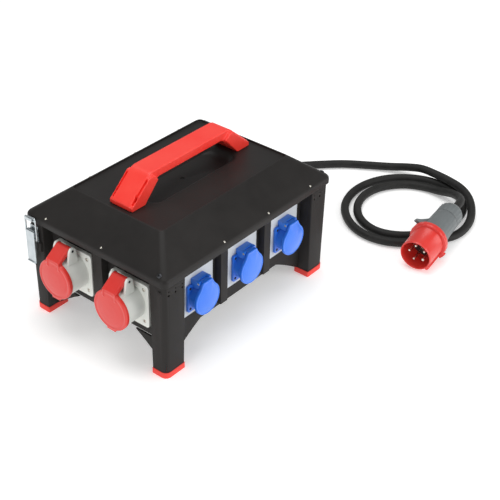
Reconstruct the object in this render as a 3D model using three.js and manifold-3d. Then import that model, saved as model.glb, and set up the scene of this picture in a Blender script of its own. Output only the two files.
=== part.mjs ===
// A portable power distribution box: a black tub on four legs under a sloped hood with a red
// carrying handle, three domestic sockets in front, two five-pole industrial sockets on the left,
// circuit breakers inside, and a rubber mains cable that ends in a five-pole plug.
//
// Millimetres, +Z up. The origin is on the floor under the middle of the box. The front is -Y,
// the left side -X. The cable and its plug lie on the floor to the right (+X).
import * as THREE from "three";
import { mergeVertices } from "three/addons/utils/BufferGeometryUtils.js";
import Module from "manifold-3d";

const wasm = await Module();
wasm.setup();

// ---------------------------------------------------------------- driving dimensions

const GAP = 0.3; // between pieces that touch
const ROUND = 28; // sides of a large round piece

// Hood: half lengths at the eave and at the raised rim round its top.
const EAVE = { x: 210, y: 153, corner: 11 };
const RIM = { x: 155.5, y: 99, corner: 8 };
const SKIRT_Z = 178;
const CREASE_Z = 189.4;
const RIM_Z = 232.4;
const TRAY_Z = 229;
const HOOD_WALL = 2.7;
const WELL = { x: 104, y: 35, corner: 22, floorZ: 218, wall: 2.5 };

// Tub: the recessed body that the sockets sit in, half lengths of its outer faces.
const TUB = { x: 185.5, y: 125.6, lowZ: 50.5, sideLowZ: 54, wall: 3.5 };
const LEDGE = { x: 206, y: 149.7, corner: 9, lowZ: 178.2, topZ: 182.5 };
const LEG_TOP = { x: [160, 206.5], y: [117, 149.9], z: 178.2 };
const LEG_FOOT = { x: [163, 205.2], y: [118.5, 148.4], z: 10.8 };
const LEG_CORNER = 10;
const LEG_INNER_CORNER = 2;
const FOOT_CAP = { x: [162, 206], y: [117.9, 149.2], height: 10.5 };
const FRONT_RIB = { x: 55, width: 16.5, faceY: 138.5, lowZ: 63 };
const SIDE_RIB = { width: 21, faceX: 200.9, lowZ: 63 };

// Hinge line of the hood, hidden behind the front skirt.
const HINGE = { y: -148.4, z: 180.6, pinRadius: 1.5, boreRadius: 1.8, clearRadius: 5.7 };
const HINGE_MIDDLES = [-110, 110];
const TONGUE_HALF = 12;
const KNUCKLE_END = 25;

// Domestic sockets on the front.
const SOCKET_X = [-110, 0, 110];
const SOCKET_Z = 108;
const PLATE = { half: 39, lowZ: 74, topZ: 156, faceY: -127.7 };
const DOMESTIC = {
  flange: 25,
  flangeY: -132,
  barrel: 23.5,
  mouthY: -146.5,
  well: 20,
  floorY: -129.2,
};
const DOMESTIC_HINGE = { y: -144, z: 139 };

// Industrial sockets on the left.
const INDUSTRIAL_Y = [-62, 62];
const INDUSTRIAL_Z = 111;
const INDUSTRIAL = {
  flange: 40,
  flangeX: -192.5,
  barrel: 33,
  mouthX: -228,
  well: 28.6,
  floorX: -197,
};
const INDUSTRIAL_HINGE = { x: -210.4, z: 161 };
const CONTACT_COUNT = 5;

// Toggle latch on each short side, drawn for the left one.
const LATCH_Y = 135;
const LEVER_PIVOT = { x: -213.5, z: 162 };
const BAIL_PIVOT = { x: -214, z: 148.5 };
const BAIL_TOP_Z = 187.5;
const WIRE = 1.5;

// How far the box reaches from the middle of the tub: the industrial lids on the left, and the
// latch lever on the right.
const LID_REACH = 237;
const LATCH_REACH = 219.7;

// Breakers on their rail, under the cover plate.
const RAIL = { y: 40, z: 140, low: -108, high: 142 };
const BREAKER = { reach: 45, shoulderZ: 180, nose: 22.5, noseZ: 190, toggleZ: 188 };
const BREAKERS = [
  { name: "residual_current_breaker", low: -100, width: 72, toggle: 18 },
  { name: "three_pole_breaker_1", low: -28, width: 54, toggle: 44 },
  { name: "three_pole_breaker_2", low: 26, width: 54, toggle: 44 },
  { name: "single_pole_breaker_1", low: 80, width: 18, toggle: 9 },
  { name: "single_pole_breaker_2", low: 98, width: 18, toggle: 9 },
  { name: "single_pole_breaker_3", low: 116, width: 18, toggle: 9 },
];

const TOGGLE_LEAN = (38 * Math.PI) / 180; // from straight up, when a breaker is on
const TEST_BUTTON = { x: -88, y: RAIL.y + 12, radius: 3.4, travel: 2 };

// Cable: its gland on the right side, and the plug on the floor.
const CABLE_RADIUS = 8;
const GLAND = { y: 88, z: 76, end: 214 };
const PLUG_FACE = new THREE.Vector3(303, -280, 32.4);
const PLUG_TAIL = new THREE.Vector3(457, -263.5, 46.4);
const PLUG_ROLL = 50; // degrees from straight up towards +Y, where the plug's hook points

// The route of the cable's centre line from the gland to the plug.
const CABLE_ROUTE = [
  [GLAND.end + GAP, GLAND.y, GLAND.z],
  [250, 89, 74],
  [290, 93, 65],
  [332, 98, 50],
  [374, 101, 34],
  [414, 99, 20],
  [452, 86, 11.5],
  [486, 62, 8.5],
  [520, 28, 8.3],
  [549, -14, 8.6],
  [571, -54, 11],
  [582, -88, 18],
  [585, -118, 24.3],
  [584, -150, 24.8],
  [580, -182, 24.8],
  [572, -212, 24.6],
  [556, -240, 23],
  [533, -262, 18],
  [504, -278, 11.5],
  [470, -285, 8.6],
  [438, -282, 8.3],
  [410, -268, 8.3],
  [381, -247, 8.3],
  [355, -222, 8.3],
  [338, -193, 8.3],
  [332, -160, 8.3],
  [339, -126, 8.3],
  [359, -94, 8.3],
  [389, -68, 8.3],
  [427, -53, 8.3],
  [466, -50, 8.3],
  [503, -58, 8.3],
  [536, -77, 8.3],
  [561, -105, 8.3],
  [577, -138, 8.3],
  [580, -172, 8.3],
  [572, -205, 8.3],
  [553, -232, 8.3],
  [523, -250, 8.3],
  [488, -256, 8.3],
  [452, -252, 8.3],
  [419, -241, 8.3],
  [390, -223, 8.3],
  [368, -198, 8.3],
  [357, -167, 8.3],
  [362, -134, 8.3],
  [381, -105, 8.3],
  [410, -84, 8.3],
  [445, -74, 8.3],
  [480, -77, 8.3],
  [512, -92, 8.3],
  [537, -116, 8.3],
  [551, -147, 8.6],
  [553, -180, 12],
  [544, -211, 23],
  [525, -237, 34],
  [498, -255, 44],
];
const CABLE_STEPS = 66;

// ---------------------------------------------------------------- solids

// A geometry as a manifold solid with its faces pointing out.
function solid(geometry) {
  geometry.deleteAttribute("normal");
  geometry.deleteAttribute("uv");
  const merged = mergeVertices(geometry, 1e-4);
  const corners = [];
  for (let i = 0; i < merged.index.count; i += 3) {
    const [a, b, c] = merged.index.array.slice(i, i + 3);
    if (a !== b && b !== c && c !== a) corners.push([a, b, c]);
  }
  const build = (triangles) =>
    new wasm.Manifold(
      new wasm.Mesh({
        numProp: 3,
        vertProperties: merged.attributes.position.array,
        triVerts: new Uint32Array(triangles.flat()),
      }),
    );
  const made = build(corners);
  return made.volume() > 0 ? made : build(corners.map(([a, b, c]) => [a, c, b]));
}

const join = (...pieces) => pieces.reduce((sum, piece) => sum.add(piece));
const cut = (body, ...tools) => tools.reduce((rest, tool) => rest.subtract(tool), body);

function box(x0, x1, y0, y1, z0, z1) {
  const g = new THREE.BoxGeometry(x1 - x0, y1 - y0, z1 - z0);
  return solid(g.translate((x0 + x1) / 2, (y0 + y1) / 2, (z0 + z1) / 2));
}

// A cylinder along one axis; a and b are its place on the other two, in X, Y, Z order.
function rod(axis, radius, low, high, a, b, sides = 20) {
  const g = new THREE.CylinderGeometry(radius, radius, high - low, sides);
  const middle = (low + high) / 2;
  if (axis === "x") g.rotateZ(Math.PI / 2).translate(middle, a, b);
  if (axis === "y") g.translate(a, middle, b);
  if (axis === "z") g.rotateX(Math.PI / 2).translate(a, b, middle);
  return solid(g);
}

// A flat outline drawn on the other two axes and extruded from low to high along one axis.
const FRAMES = {
  x: new THREE.Matrix4().set(0, 0, 1, 0, 1, 0, 0, 0, 0, 1, 0, 0, 0, 0, 0, 1),
  y: new THREE.Matrix4().set(1, 0, 0, 0, 0, 0, -1, 0, 0, 1, 0, 0, 0, 0, 0, 1),
  z: new THREE.Matrix4(),
};
function prism(axis, outline, low, high, curveSegments = 6) {
  const shape = outline instanceof THREE.Shape
    ? outline
    : new THREE.Shape(outline.map(([a, b]) => new THREE.Vector2(a, b)));
  const g = new THREE.ExtrudeGeometry(shape, { depth: high - low, bevelEnabled: false, curveSegments });
  g.translate(0, 0, axis === "y" ? -high : low);
  return solid(g.applyMatrix4(FRAMES[axis]));
}

// The points of a rectangle with rounded corners at height z, anticlockwise from above. The four
// radii are those of the corners at +x+y, -x+y, -x-y and +x-y.
function ring([x0, x1], [y0, y1], radii, z, steps = 3) {
  const r = Array.isArray(radii) ? radii : [radii, radii, radii, radii];
  const centres = [
    [x1 - r[0], y1 - r[0]],
    [x0 + r[1], y1 - r[1]],
    [x0 + r[2], y0 + r[2]],
    [x1 - r[3], y0 + r[3]],
  ];
  return centres.flatMap(([cx, cy], corner) =>
    Array.from({ length: steps + 1 }, (_, i) => {
      const angle = (corner + i / steps) * (Math.PI / 2);
      return [cx + r[corner] * Math.cos(angle), cy + r[corner] * Math.sin(angle), z];
    }),
  );
}
const even = (halfX, halfY, radius, z) => ring([-halfX, halfX], [-halfY, halfY], radius, z);

// A solid skinned over a stack of such rings, closed flat at both ends.
function loft(rings) {
  const count = rings[0].length;
  const index = [];
  for (let level = 0; level + 1 < rings.length; level++)
    for (let i = 0; i < count; i++) {
      const a = level * count + i;
      const b = level * count + ((i + 1) % count);
      index.push(a, b, b + count, a, b + count, a + count);
    }
  const top = (rings.length - 1) * count;
  for (let i = 1; i + 1 < count; i++) index.push(0, i + 1, i, top, top + i, top + i + 1);
  const g = new THREE.BufferGeometry();
  g.setAttribute("position", new THREE.BufferAttribute(new Float32Array(rings.flat(2)), 3));
  return solid(g.setIndex(index));
}

// A turned piece: its profile is a list of [radius, height], and it stands along Z.
function turned(profile, segments = 32) {
  const points = profile.map(([r, h]) => new THREE.Vector2(r, h));
  return solid(new THREE.LatheGeometry(points, segments).rotateX(Math.PI / 2));
}

// A tube along a smooth curve through a list of points.
function tube(points, radius, steps, sides) {
  const curve = new THREE.CatmullRomCurve3(
    points.map((p) => new THREE.Vector3(...p)),
  );
  const section = Array.from({ length: sides }, (_, i) => {
    const angle = (i / sides) * 2 * Math.PI;
    return new THREE.Vector2(radius * Math.cos(angle), radius * Math.sin(angle));
  });
  return solid(new THREE.ExtrudeGeometry(new THREE.Shape(section), { steps, extrudePath: curve }));
}

// The range between two distances from the middle, on the side that the sign says.
const side = (sign, low, high) => (sign > 0 ? [low, high] : [-high, -low]);
const SIGNS = [-1, 1];

// ---------------------------------------------------------------- materials

const finish = (color, roughness, metalness = 0) =>
  new THREE.MeshStandardMaterial({ color, roughness, metalness });
const MATERIALS = {
  black: finish(0x2a2826, 0.55),
  inside: finish(0x33322f, 0.6),
  red: finish(0xe02a20, 0.45),
  lidRed: finish(0xd22d28, 0.4),
  blue: finish(0x1e62d8, 0.35),
  pale: finish(0xe1e4de, 0.5),
  plate: finish(0xc8cdd2, 0.5),
  grey: finish(0x64696a, 0.55),
  breaker: finish(0xdcdcd6, 0.5),
  toggle: finish(0x1f4f9e, 0.4),
  steel: finish(0xb9bcbd, 0.32, 1),
  brass: finish(0xc9a24b, 0.35, 1),
  rubber: finish(0x2b2b2a, 0.75),
  contact: finish(0xcfcac0, 0.25, 1),
};

// Everything sits in one group, moved along X so that the origin is under the middle of the box
// with its industrial lids and its latches.
const root = new THREE.Group();
root.name = "power_distribution_box";
const model = new THREE.Group();
model.position.x = (LID_REACH - LATCH_REACH) / 2;
root.add(model);

// Adds a solid to a group as one named mesh.
function add(name, shape, material, group = model) {
  const { vertProperties, triVerts } = shape.getMesh();
  const g = new THREE.BufferGeometry();
  g.setAttribute("position", new THREE.BufferAttribute(vertProperties, 3));
  g.setIndex(new THREE.BufferAttribute(triVerts, 1));
  g.computeVertexNormals();
  const mesh = new THREE.Mesh(g, MATERIALS[material]);
  mesh.name = name;
  group.add(mesh);
  return mesh;
}

// ---------------------------------------------------------------- base

// The corner radii of a leg in plan: large on the box's outer corner, small on the others.
function legRadii(sx, sy) {
  const outer = sy > 0 ? (1 - sx) / 2 : (5 + sx) / 2;
  return [0, 1, 2, 3].map((corner) => (corner === outer ? LEG_CORNER : LEG_INNER_CORNER));
}

// One leg, tapered towards the foot.
function leg(sx, sy) {
  const radii = legRadii(sx, sy);
  const level = ({ x, y, z }) => ring(side(sx, ...x), side(sy, ...y), radii, z);
  return loft([level(LEG_FOOT), level(LEG_TOP)]);
}

// The hollow in a leg, open at the foot: an L in plan that leaves the tub's corner standing.
function legHollow(sx, sy) {
  const topZ = 172;
  const along = box(...side(sx, 166.5, 202), ...side(sy, 128.6, 145.6), -1, topZ);
  const across = box(...side(sx, 189, 202), ...side(sy, 121.5, 145.6), -1, topZ);
  return join(along, across);
}

// The web that runs from the lower edge of a wall down into a leg, drawn for one end of the wall.
function gusset(axis, sign, start, end, edgeZ, low, high) {
  const outline = new THREE.Shape();
  outline.moveTo(sign * start, edgeZ + 1);
  outline.lineTo(sign * start, edgeZ);
  outline.quadraticCurveTo(sign * (start + 20), edgeZ - 9.5, sign * end, 11);
  outline.lineTo(sign * (end + 2), 11);
  outline.lineTo(sign * (end + 2), edgeZ + 1);
  return prism(axis, outline, low, high, 5);
}

// Three pairs of small vent holes in the front face of a front leg.
function legVents(sx) {
  const holes = [167.3, 182.5, 197].flatMap((x) => [
    rod("y", 1.3, -152, -144, sx * x, 167.5, 6),
    rod("y", 2.1, -152, -144, sx * x, 160.3, 6),
  ]);
  return join(...holes);
}

function baseShell() {
  const { x, y, wall, lowZ } = TUB;
  const walls = box(-x, x, -y, y, lowZ, LEDGE.topZ);
  const ledge = loft([
    even(LEDGE.x, LEDGE.y, LEDGE.corner, LEDGE.lowZ - 0.1),
    even(LEDGE.x, LEDGE.y, LEDGE.corner, LEDGE.topZ),
  ]);
  const pieces = [walls, ledge];
  const tools = [
    box(-x + wall, x - wall, -y + wall, y - wall, lowZ - 2, LEDGE.topZ + 1),
    box(x - wall - 1, x + 1, -100, 100, lowZ - 1, TUB.sideLowZ),
    box(-x - 1, -x + wall + 1, -100, 100, lowZ - 1, TUB.sideLowZ),
    ...SIGNS.map(legVents),
  ];
  for (const sx of SIGNS)
    for (const sy of SIGNS) {
      pieces.push(leg(sx, sy));
      pieces.push(gusset("y", sx, 98, 162, lowZ, ...side(sy, y - wall, y)));
      pieces.push(gusset("x", sy, 56, 118, TUB.sideLowZ, ...side(sx, x - wall, x)));
      const middle = sx * FRONT_RIB.x;
      const half = FRONT_RIB.width / 2;
      const reach = side(sy, y - 1, FRONT_RIB.faceY);
      pieces.push(box(middle - half, middle + half, ...reach, FRONT_RIB.lowZ, LEDGE.lowZ));
      tools.push(legHollow(sx, sy));
    }
  for (const sx of SIGNS) {
    const half = SIDE_RIB.width / 2;
    const reach = side(sx, x - 1, SIDE_RIB.faceX);
    pieces.push(box(...reach, -half, half, SIDE_RIB.lowZ, LEDGE.lowZ));
  }
  // A lug beside each latch, and a round boss on each front leg's side face.
  for (const sx of SIGNS) {
    pieces.push(box(...side(sx, 205, 211.5), 118.5, 124.5, 126, 143));
    pieces.push(rod("x", 4, ...side(sx, 203, 208.3), -138.9, 164.4, 12));
  }
  for (const middle of SOCKET_X) tools.push(rod("y", 22.2, -y - 1, -y + wall + 1, middle, SOCKET_Z));
  for (const middle of INDUSTRIAL_Y)
    tools.push(rod("x", 30.7, -x - 1, -x + wall + 1, middle, INDUSTRIAL_Z, ROUND));
  tools.push(rod("x", 9.4, x - wall - 1, x + 1, GLAND.y, GLAND.z));
  tools.push(rod("x", HINGE.clearRadius, -207, 207, HINGE.y, HINGE.z, 16));
  return join(cut(join(...pieces), ...tools), ...HINGE_MIDDLES.map(hingeTongue));
}

// A tongue of the base with the eye that a hinge pin passes through.
function hingeTongue(middle) {
  const ends = [middle - TONGUE_HALF, middle + TONGUE_HALF];
  const neck = box(...ends, HINGE.y + 0.5, -140, LEDGE.lowZ + 0.6, LEDGE.topZ);
  const eye = rod("x", 3, ...ends, HINGE.y, HINGE.z, 16);
  const bore = rod("x", HINGE.boreRadius, ends[0] - 1, ends[1] + 1, HINGE.y, HINGE.z, 12);
  return cut(join(neck, eye), bore);
}

function footCap(sx, sy) {
  const radii = legRadii(sx, sy);
  const level = (z) => ring(side(sx, ...FOOT_CAP.x), side(sy, ...FOOT_CAP.y), radii, z);
  const peg = box(...side(sx, 168, 200.5), ...side(sy, 130, 144), FOOT_CAP.height - 1, 22);
  return join(loft([level(0), level(FOOT_CAP.height)]), peg);
}

// The plate that closes the tub from below, with the two posts that carry the rail.
function floorPlate() {
  const x = TUB.x - TUB.wall - GAP;
  const y = TUB.y - TUB.wall - GAP;
  const posts = [-96, 130].map((at) =>
    box(at - 8, at + 8, RAIL.y - 10, RAIL.y + 10, 54, RAIL.z - 7.8),
  );
  return join(box(-x, x, -y, y, 52, 55), ...posts);
}

// ---------------------------------------------------------------- domestic sockets

function socketPlate() {
  const { half, lowZ, topZ, faceY } = PLATE;
  const plate = box(-half, half, faceY, -TUB.y - GAP, lowZ, topZ);
  return cut(plate, rod("y", 22.2, faceY - 1, -TUB.y, 0, SOCKET_Z));
}

function domesticBody() {
  const { flange, flangeY, barrel, mouthY, well } = DOMESTIC;
  const { y, z } = DOMESTIC_HINGE;
  const plateY = PLATE.faceY - GAP;
  const low = SOCKET_Z - flange;
  const body = join(
    prism("y", roundedOutline(-flange, flange, low, low + 2 * flange, 3), flangeY, plateY),
    rod("y", barrel, mouthY, flangeY + 1, 0, SOCKET_Z, ROUND),
    rod("y", 21.7, plateY - 1, -112, 0, SOCKET_Z),
    box(-8.5, 8.5, y + 4.2, plateY, z - 10, z + 4),
    ...SIGNS.map((s) => box(...side(s, 8, 14), y - 2, plateY, z - 10, z + 4)),
  );
  const bored = cut(body, rod("y", well, mouthY - 1, -113, 0, SOCKET_Z, ROUND));
  return join(bored, rod("x", 1.5, -13.5, 13.5, y, z, 12));
}

function domesticInsert() {
  const face = rod("y", DOMESTIC.well - GAP, DOMESTIC.floorY, -113 - GAP, 0, SOCKET_Z, ROUND);
  const holes = SIGNS.map((s) => rod("y", 2.6, DOMESTIC.floorY - 1, -116, s * 9.5, SOCKET_Z, 10));
  const notches = SIGNS.map((s) =>
    box(-3.5, 3.5, DOMESTIC.floorY - 1, -120, SOCKET_Z + s * 17.5 - 3, SOCKET_Z + s * 17.5 + 3),
  );
  return cut(face, ...holes, ...notches);
}

function domesticLid() {
  const { y, z } = DOMESTIC_HINGE;
  const back = DOMESTIC.mouthY - 0.5;
  const front = back - 5.4;
  const narrow = 7.4;
  const neck = [
    [-22, SOCKET_Z + 17],
    [22, SOCKET_Z + 17],
    [13, z - 3.5],
    [-13, z - 3.5],
  ];
  const body = join(
    rod("y", 28.2, front, back, 0, SOCKET_Z - 0.5, ROUND),
    prism("y", neck, front, back),
    box(-narrow, narrow, front, back, z - 4, z + 3.5),
    box(-narrow, narrow, back - 1, y, z - 3, z + 3),
    rod("x", 3.6, -narrow, narrow, y, z, 16),
  );
  return cut(body, rod("x", 1.85, -narrow - 1, narrow + 1, y, z, 12));
}

// A rectangle with rounded corners as a drawn outline.
function roundedOutline(a0, a1, b0, b1, r) {
  const shape = new THREE.Shape();
  shape.moveTo(a0 + r, b0);
  shape.lineTo(a1 - r, b0);
  shape.absarc(a1 - r, b0 + r, r, -Math.PI / 2, 0);
  shape.lineTo(a1, b1 - r);
  shape.absarc(a1 - r, b1 - r, r, 0, Math.PI / 2);
  shape.lineTo(a0 + r, b1);
  shape.absarc(a0 + r, b1 - r, r, Math.PI / 2, Math.PI);
  shape.lineTo(a0, b0 + r);
  shape.absarc(a0 + r, b0 + r, r, Math.PI, 1.5 * Math.PI);
  return shape;
}

// ---------------------------------------------------------------- industrial sockets

const INDUSTRIAL_REAR_X = -160;

function industrialBody() {
  const { flange, flangeX, barrel, mouthX, well } = INDUSTRIAL;
  const { x, z } = INDUSTRIAL_HINGE;
  const wallX = -TUB.x - GAP;
  const low = INDUSTRIAL_Z - flange;
  const ear = [
    [-222, 134],
    [-200, 134],
    [-203, 162],
    [-207, 166.5],
    [-213.5, 166.5],
    [-217, 162],
  ];
  const body = join(
    prism("x", roundedOutline(-flange, flange, low, low + 2 * flange, 6), flangeX, wallX),
    rod("x", barrel, mouthX, flangeX + 1, 0, INDUSTRIAL_Z, ROUND),
    rod("x", 30.2, wallX - 1, INDUSTRIAL_REAR_X, 0, INDUSTRIAL_Z, ROUND),
    ...SIGNS.map((s) => prism("y", ear, ...side(s, 14.6, 18.6))),
  );
  const mouth = rod("x", well, mouthX - 1, INDUSTRIAL_REAR_X - 1, 0, INDUSTRIAL_Z, ROUND);
  const keyway = box(mouthX - 1, -203, -4, 4, INDUSTRIAL_Z - 31, INDUSTRIAL_Z - 20);
  const screws = SIGNS.flatMap((sy) =>
    SIGNS.map((sz) => rod("x", 3.6, flangeX - 1, flangeX + 2, sy * 30, INDUSTRIAL_Z + sz * 30, 8)),
  );
  return join(cut(body, mouth, keyway, ...screws), rod("y", 2, -18, 18, x, z, 10));
}

function industrialInsert() {
  const { well, floorX } = INDUSTRIAL;
  const face = rod("x", well - GAP, floorX, INDUSTRIAL_REAR_X - 1 - GAP, 0, INDUSTRIAL_Z, ROUND);
  return cut(face, ...contactCircle(16, 3.1, 3.7).map(([y, z, r]) =>
    rod("x", r, floorX - 1, floorX + 30, y, INDUSTRIAL_Z + z, 8),
  ));
}

// Places on the contact circle: the first, at the bottom, is the larger earth contact.
function contactCircle(radius, phase, earth) {
  return Array.from({ length: CONTACT_COUNT }, (_, i) => {
    const angle = -Math.PI / 2 + (i * 2 * Math.PI) / CONTACT_COUNT;
    return [radius * Math.cos(angle), radius * Math.sin(angle), i ? phase : earth];
  });
}

function industrialLid() {
  const { x, z } = INDUSTRIAL_HINGE;
  const back = INDUSTRIAL.mouthX - 1.3;
  const front = back - 7.7;
  const half = 14.2;
  const arm = [
    [-209, 166],
    [-214, 165.5],
    [front, 148],
    [front, 128],
    [back, 128],
    [back, 146.5],
    [-214, 156.2],
    [-209, 156],
  ];
  const body = join(
    rod("x", 35.5, front, back, 0, INDUSTRIAL_Z + 0.5, ROUND),
    prism("y", arm, -half, half),
    rod("y", 5, -half, half, x, z, 16),
  );
  return cut(body, rod("y", 2.4, -half - 1, half + 1, x, z, 12));
}

// ---------------------------------------------------------------- breakers and inner pieces

// A top-hat rail: a channel with a lip along each edge.
function dinRail() {
  const { y, z, low, high } = RAIL;
  const half = 17.5;
  const inner = 12.5;
  const thick = 1.2;
  const outline = [
    [y - half, z - thick],
    [y - inner, z - thick],
    [y - inner, z - 7.5],
    [y + inner, z - 7.5],
    [y + inner, z - thick],
    [y + half, z - thick],
    [y + half, z],
    [y + inner - thick, z],
    [y + inner - thick, z - 7.5 + thick],
    [y - inner + thick, z - 7.5 + thick],
    [y - inner + thick, z],
    [y - half, z],
  ];
  return prism("x", outline, low, high);
}

function breaker({ low, width, toggle }) {
  const { reach, shoulderZ, nose, noseZ, toggleZ } = BREAKER;
  const ends = [low + GAP / 2, low + width - GAP / 2];
  const middle = low + width / 2;
  const bottom = RAIL.z + GAP;
  const body = join(
    box(...ends, RAIL.y - reach, RAIL.y + reach, bottom, shoulderZ),
    box(...ends, RAIL.y - nose, RAIL.y + nose, shoulderZ - 1, noseZ),
  );
  const half = toggle / 2 + 0.4;
  return cut(body, rod("x", 5.2, middle - half, middle + half, RAIL.y, toggleZ, 16));
}

// A toggle: a drum on the breaker's own axis with a bar that leans towards +Y when it is on.
function breakerToggle({ low, width, toggle }) {
  const middle = low + width / 2;
  const half = toggle / 2;
  const bar = new THREE.BoxGeometry(toggle, 3.2, 8).translate(0, 0, 7);
  bar.rotateX(-TOGGLE_LEAN).translate(middle, RAIL.y, BREAKER.toggleZ);
  return join(
    rod("x", 4.8, middle - half, middle + half, RAIL.y, BREAKER.toggleZ, 16),
    solid(bar),
  );
}
function terminalBlock() {
  const block = box(-70, 60, -66, -34, 55.5, 86);
  const slots = Array.from({ length: 9 }, (_, i) => {
    const x = -70 + 13 * (i + 1);
    return box(x - 0.8, x + 0.8, -67, -33, 76, 87);
  });
  return cut(block, ...slots);
}

function earthBar() {
  const bar = box(-55, 55, -99, -90, 62, 71);
  const feet = SIGNS.map((s) => box(...side(s, 46, 55), -99, -90, 55.5, 63));
  const holes = Array.from({ length: 7 }, (_, i) => rod("z", 2.2, 60, 72, -36 + 12 * i, -94.5, 6));
  return cut(join(bar, ...feet), ...holes);
}

// The plate over the wiring, with the window that the breakers' noses look through.
function deckCover() {
  const plate = box(-179, 179, -119, 119, 182.8, 185.3);
  const { low } = BREAKERS[0];
  const last = BREAKERS[BREAKERS.length - 1];
  const half = BREAKER.nose + 0.6;
  const window = box(low - 0.5, last.low + last.width + 0.5, RAIL.y - half, RAIL.y + half, 182, 186);
  return cut(plate, window);
}

// ---------------------------------------------------------------- hood and handle

function hood() {
  const slope = (EAVE.x - RIM.x) / (RIM_Z - CREASE_Z);
  const slopeY = (EAVE.y - RIM.y) / (RIM_Z - CREASE_Z);
  const topZ = TRAY_Z - HOOD_WALL;
  const drop = RIM_Z - topZ;
  const sideWall = HOOD_WALL * Math.hypot(1, slope);
  const shell = loft([
    even(EAVE.x, EAVE.y, EAVE.corner, SKIRT_Z),
    even(EAVE.x, EAVE.y, EAVE.corner, CREASE_Z),
    even(RIM.x, RIM.y, RIM.corner, RIM_Z),
  ]);
  const inner = EAVE.corner - HOOD_WALL;
  const hollow = loft([
    even(EAVE.x - HOOD_WALL, EAVE.y - HOOD_WALL, inner, SKIRT_Z - 1),
    even(EAVE.x - HOOD_WALL, EAVE.y - HOOD_WALL, inner, CREASE_Z - 1.3),
    even(RIM.x + drop * slope - sideWall, RIM.y + drop * slopeY - sideWall, RIM.corner - 2, topZ),
  ]);
  const lip = 2.2;
  const tray = loft([
    even(RIM.x - lip, RIM.y - lip, RIM.corner - lip, TRAY_Z),
    even(RIM.x - lip, RIM.y - lip, RIM.corner - lip, RIM_Z + 1),
  ]);
  const { x, y, corner, floorZ, wall } = WELL;
  const wellBody = loft([
    even(x - 9, y - 3, corner - 5, floorZ - wall),
    even(x + wall, y + wall, corner + wall, TRAY_Z - 1),
  ]);
  const well = loft([even(x - 11, y - 5, corner - 8, floorZ), even(x, y, corner, TRAY_Z + 0.5)]);
  const dimple = rod("z", 3.5, floorZ - 1.2, floorZ + 2, 0, 0, 12);
  const body = join(cut(shell, hollow, tray), wellBody);
  return hingeKnuckles(cut(body, well, dimple));
}

// Cuts the hood's hinge pockets and adds the knuckles on both sides of each tongue.
function hingeKnuckles(body) {
  const { y, z, boreRadius } = HINGE;
  let made = body;
  for (const middle of HINGE_MIDDLES) {
    for (const s of SIGNS) {
      const [a, b] = side(s, TONGUE_HALF + 1, KNUCKLE_END);
      made = made.add(rod("x", 3.2, middle + a, middle + b, y, z, 16));
    }
    const reach = TONGUE_HALF + 0.8;
    made = made.subtract(rod("x", 3.4, middle - reach, middle + reach, y, z, 16));
    made = made.subtract(rod("x", boreRadius, middle - 30, middle + 30, y, z, 12));
  }
  return made;
}

// The handle: a flat arch in side view, narrower along the grip in plan.
function handle() {
  const foot = TRAY_Z + GAP;
  const over = [
    [143.5, foot],
    [143.5, 237.3],
    [101, 274.2],
    [97, 276.9],
    [92, 278.5],
  ];
  const under = [
    [112.5, foot - 2.5],
    [80.5, 260.4],
    [77.5, 262.2],
    [74, 263],
  ];
  const plan = [
    [144, 24.8],
    [88, 24.8],
    [66, 19.5],
  ];
  const arch = prism("y", [...over, ...flipped(over)], -25, 25);
  const opening = prism("y", [...under, ...flipped(under)], -26, 26);
  const outline = [...plan, ...flipped(plan), ...turnedRound(plan), ...mirroredDown(plan)];
  const across = prism("z", outline, foot, 280);
  return arch.subtract(opening).intersect(across);
}
const flipped = (points) => points.map(([a, b]) => [-a, b]).reverse();
const turnedRound = (points) => points.map(([a, b]) => [-a, -b]);
const mirroredDown = (points) => points.map(([a, b]) => [a, -b]).reverse();

// ---------------------------------------------------------------- latches (drawn for the left)

function latchBase() {
  const { x, z } = LEVER_PIVOT;
  const plate = box(-208, -206.8, LATCH_Y - 9, LATCH_Y + 9, 140, 170);
  const ears = SIGNS.map((s) => {
    const [a, b] = side(s, 5.4, 7.2);
    const arm = box(x, -207.5, LATCH_Y + a, LATCH_Y + b, z - 2.5, z + 2.5);
    return join(arm, rod("y", 2.5, LATCH_Y + a, LATCH_Y + b, x, z, 12));
  });
  return join(plate, ...ears, rod("y", 1.5, LATCH_Y - 9.5, LATCH_Y + 9.5, x, z, 12));
}

function latchLever() {
  const { x, z } = LEVER_PIVOT;
  const face = box(x - 4.2, x - 2.9, LATCH_Y - 9.5, LATCH_Y + 9.5, 104, z + 2);
  const flange = [
    [x - 3.5, z + 2],
    [x + 2.5, z + 2],
    [x + 2.5, BAIL_PIVOT.z - 4],
    [x - 3.5, 112],
  ];
  const sides = SIGNS.map((s) => {
    const [a, b] = side(s, 8, 9.5);
    return prism("y", flange, LATCH_Y + a, LATCH_Y + b);
  });
  const bores = [LEVER_PIVOT, BAIL_PIVOT].map((pivot) =>
    rod("y", 1.85, LATCH_Y - 12, LATCH_Y + 12, pivot.x, pivot.z, 12),
  );
  const tip = box(x - 6.2, x - 2.9, LATCH_Y - 9.5, LATCH_Y + 9.5, 104, 105.5);
  return cut(join(face, tip, ...sides), ...bores);
}

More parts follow.
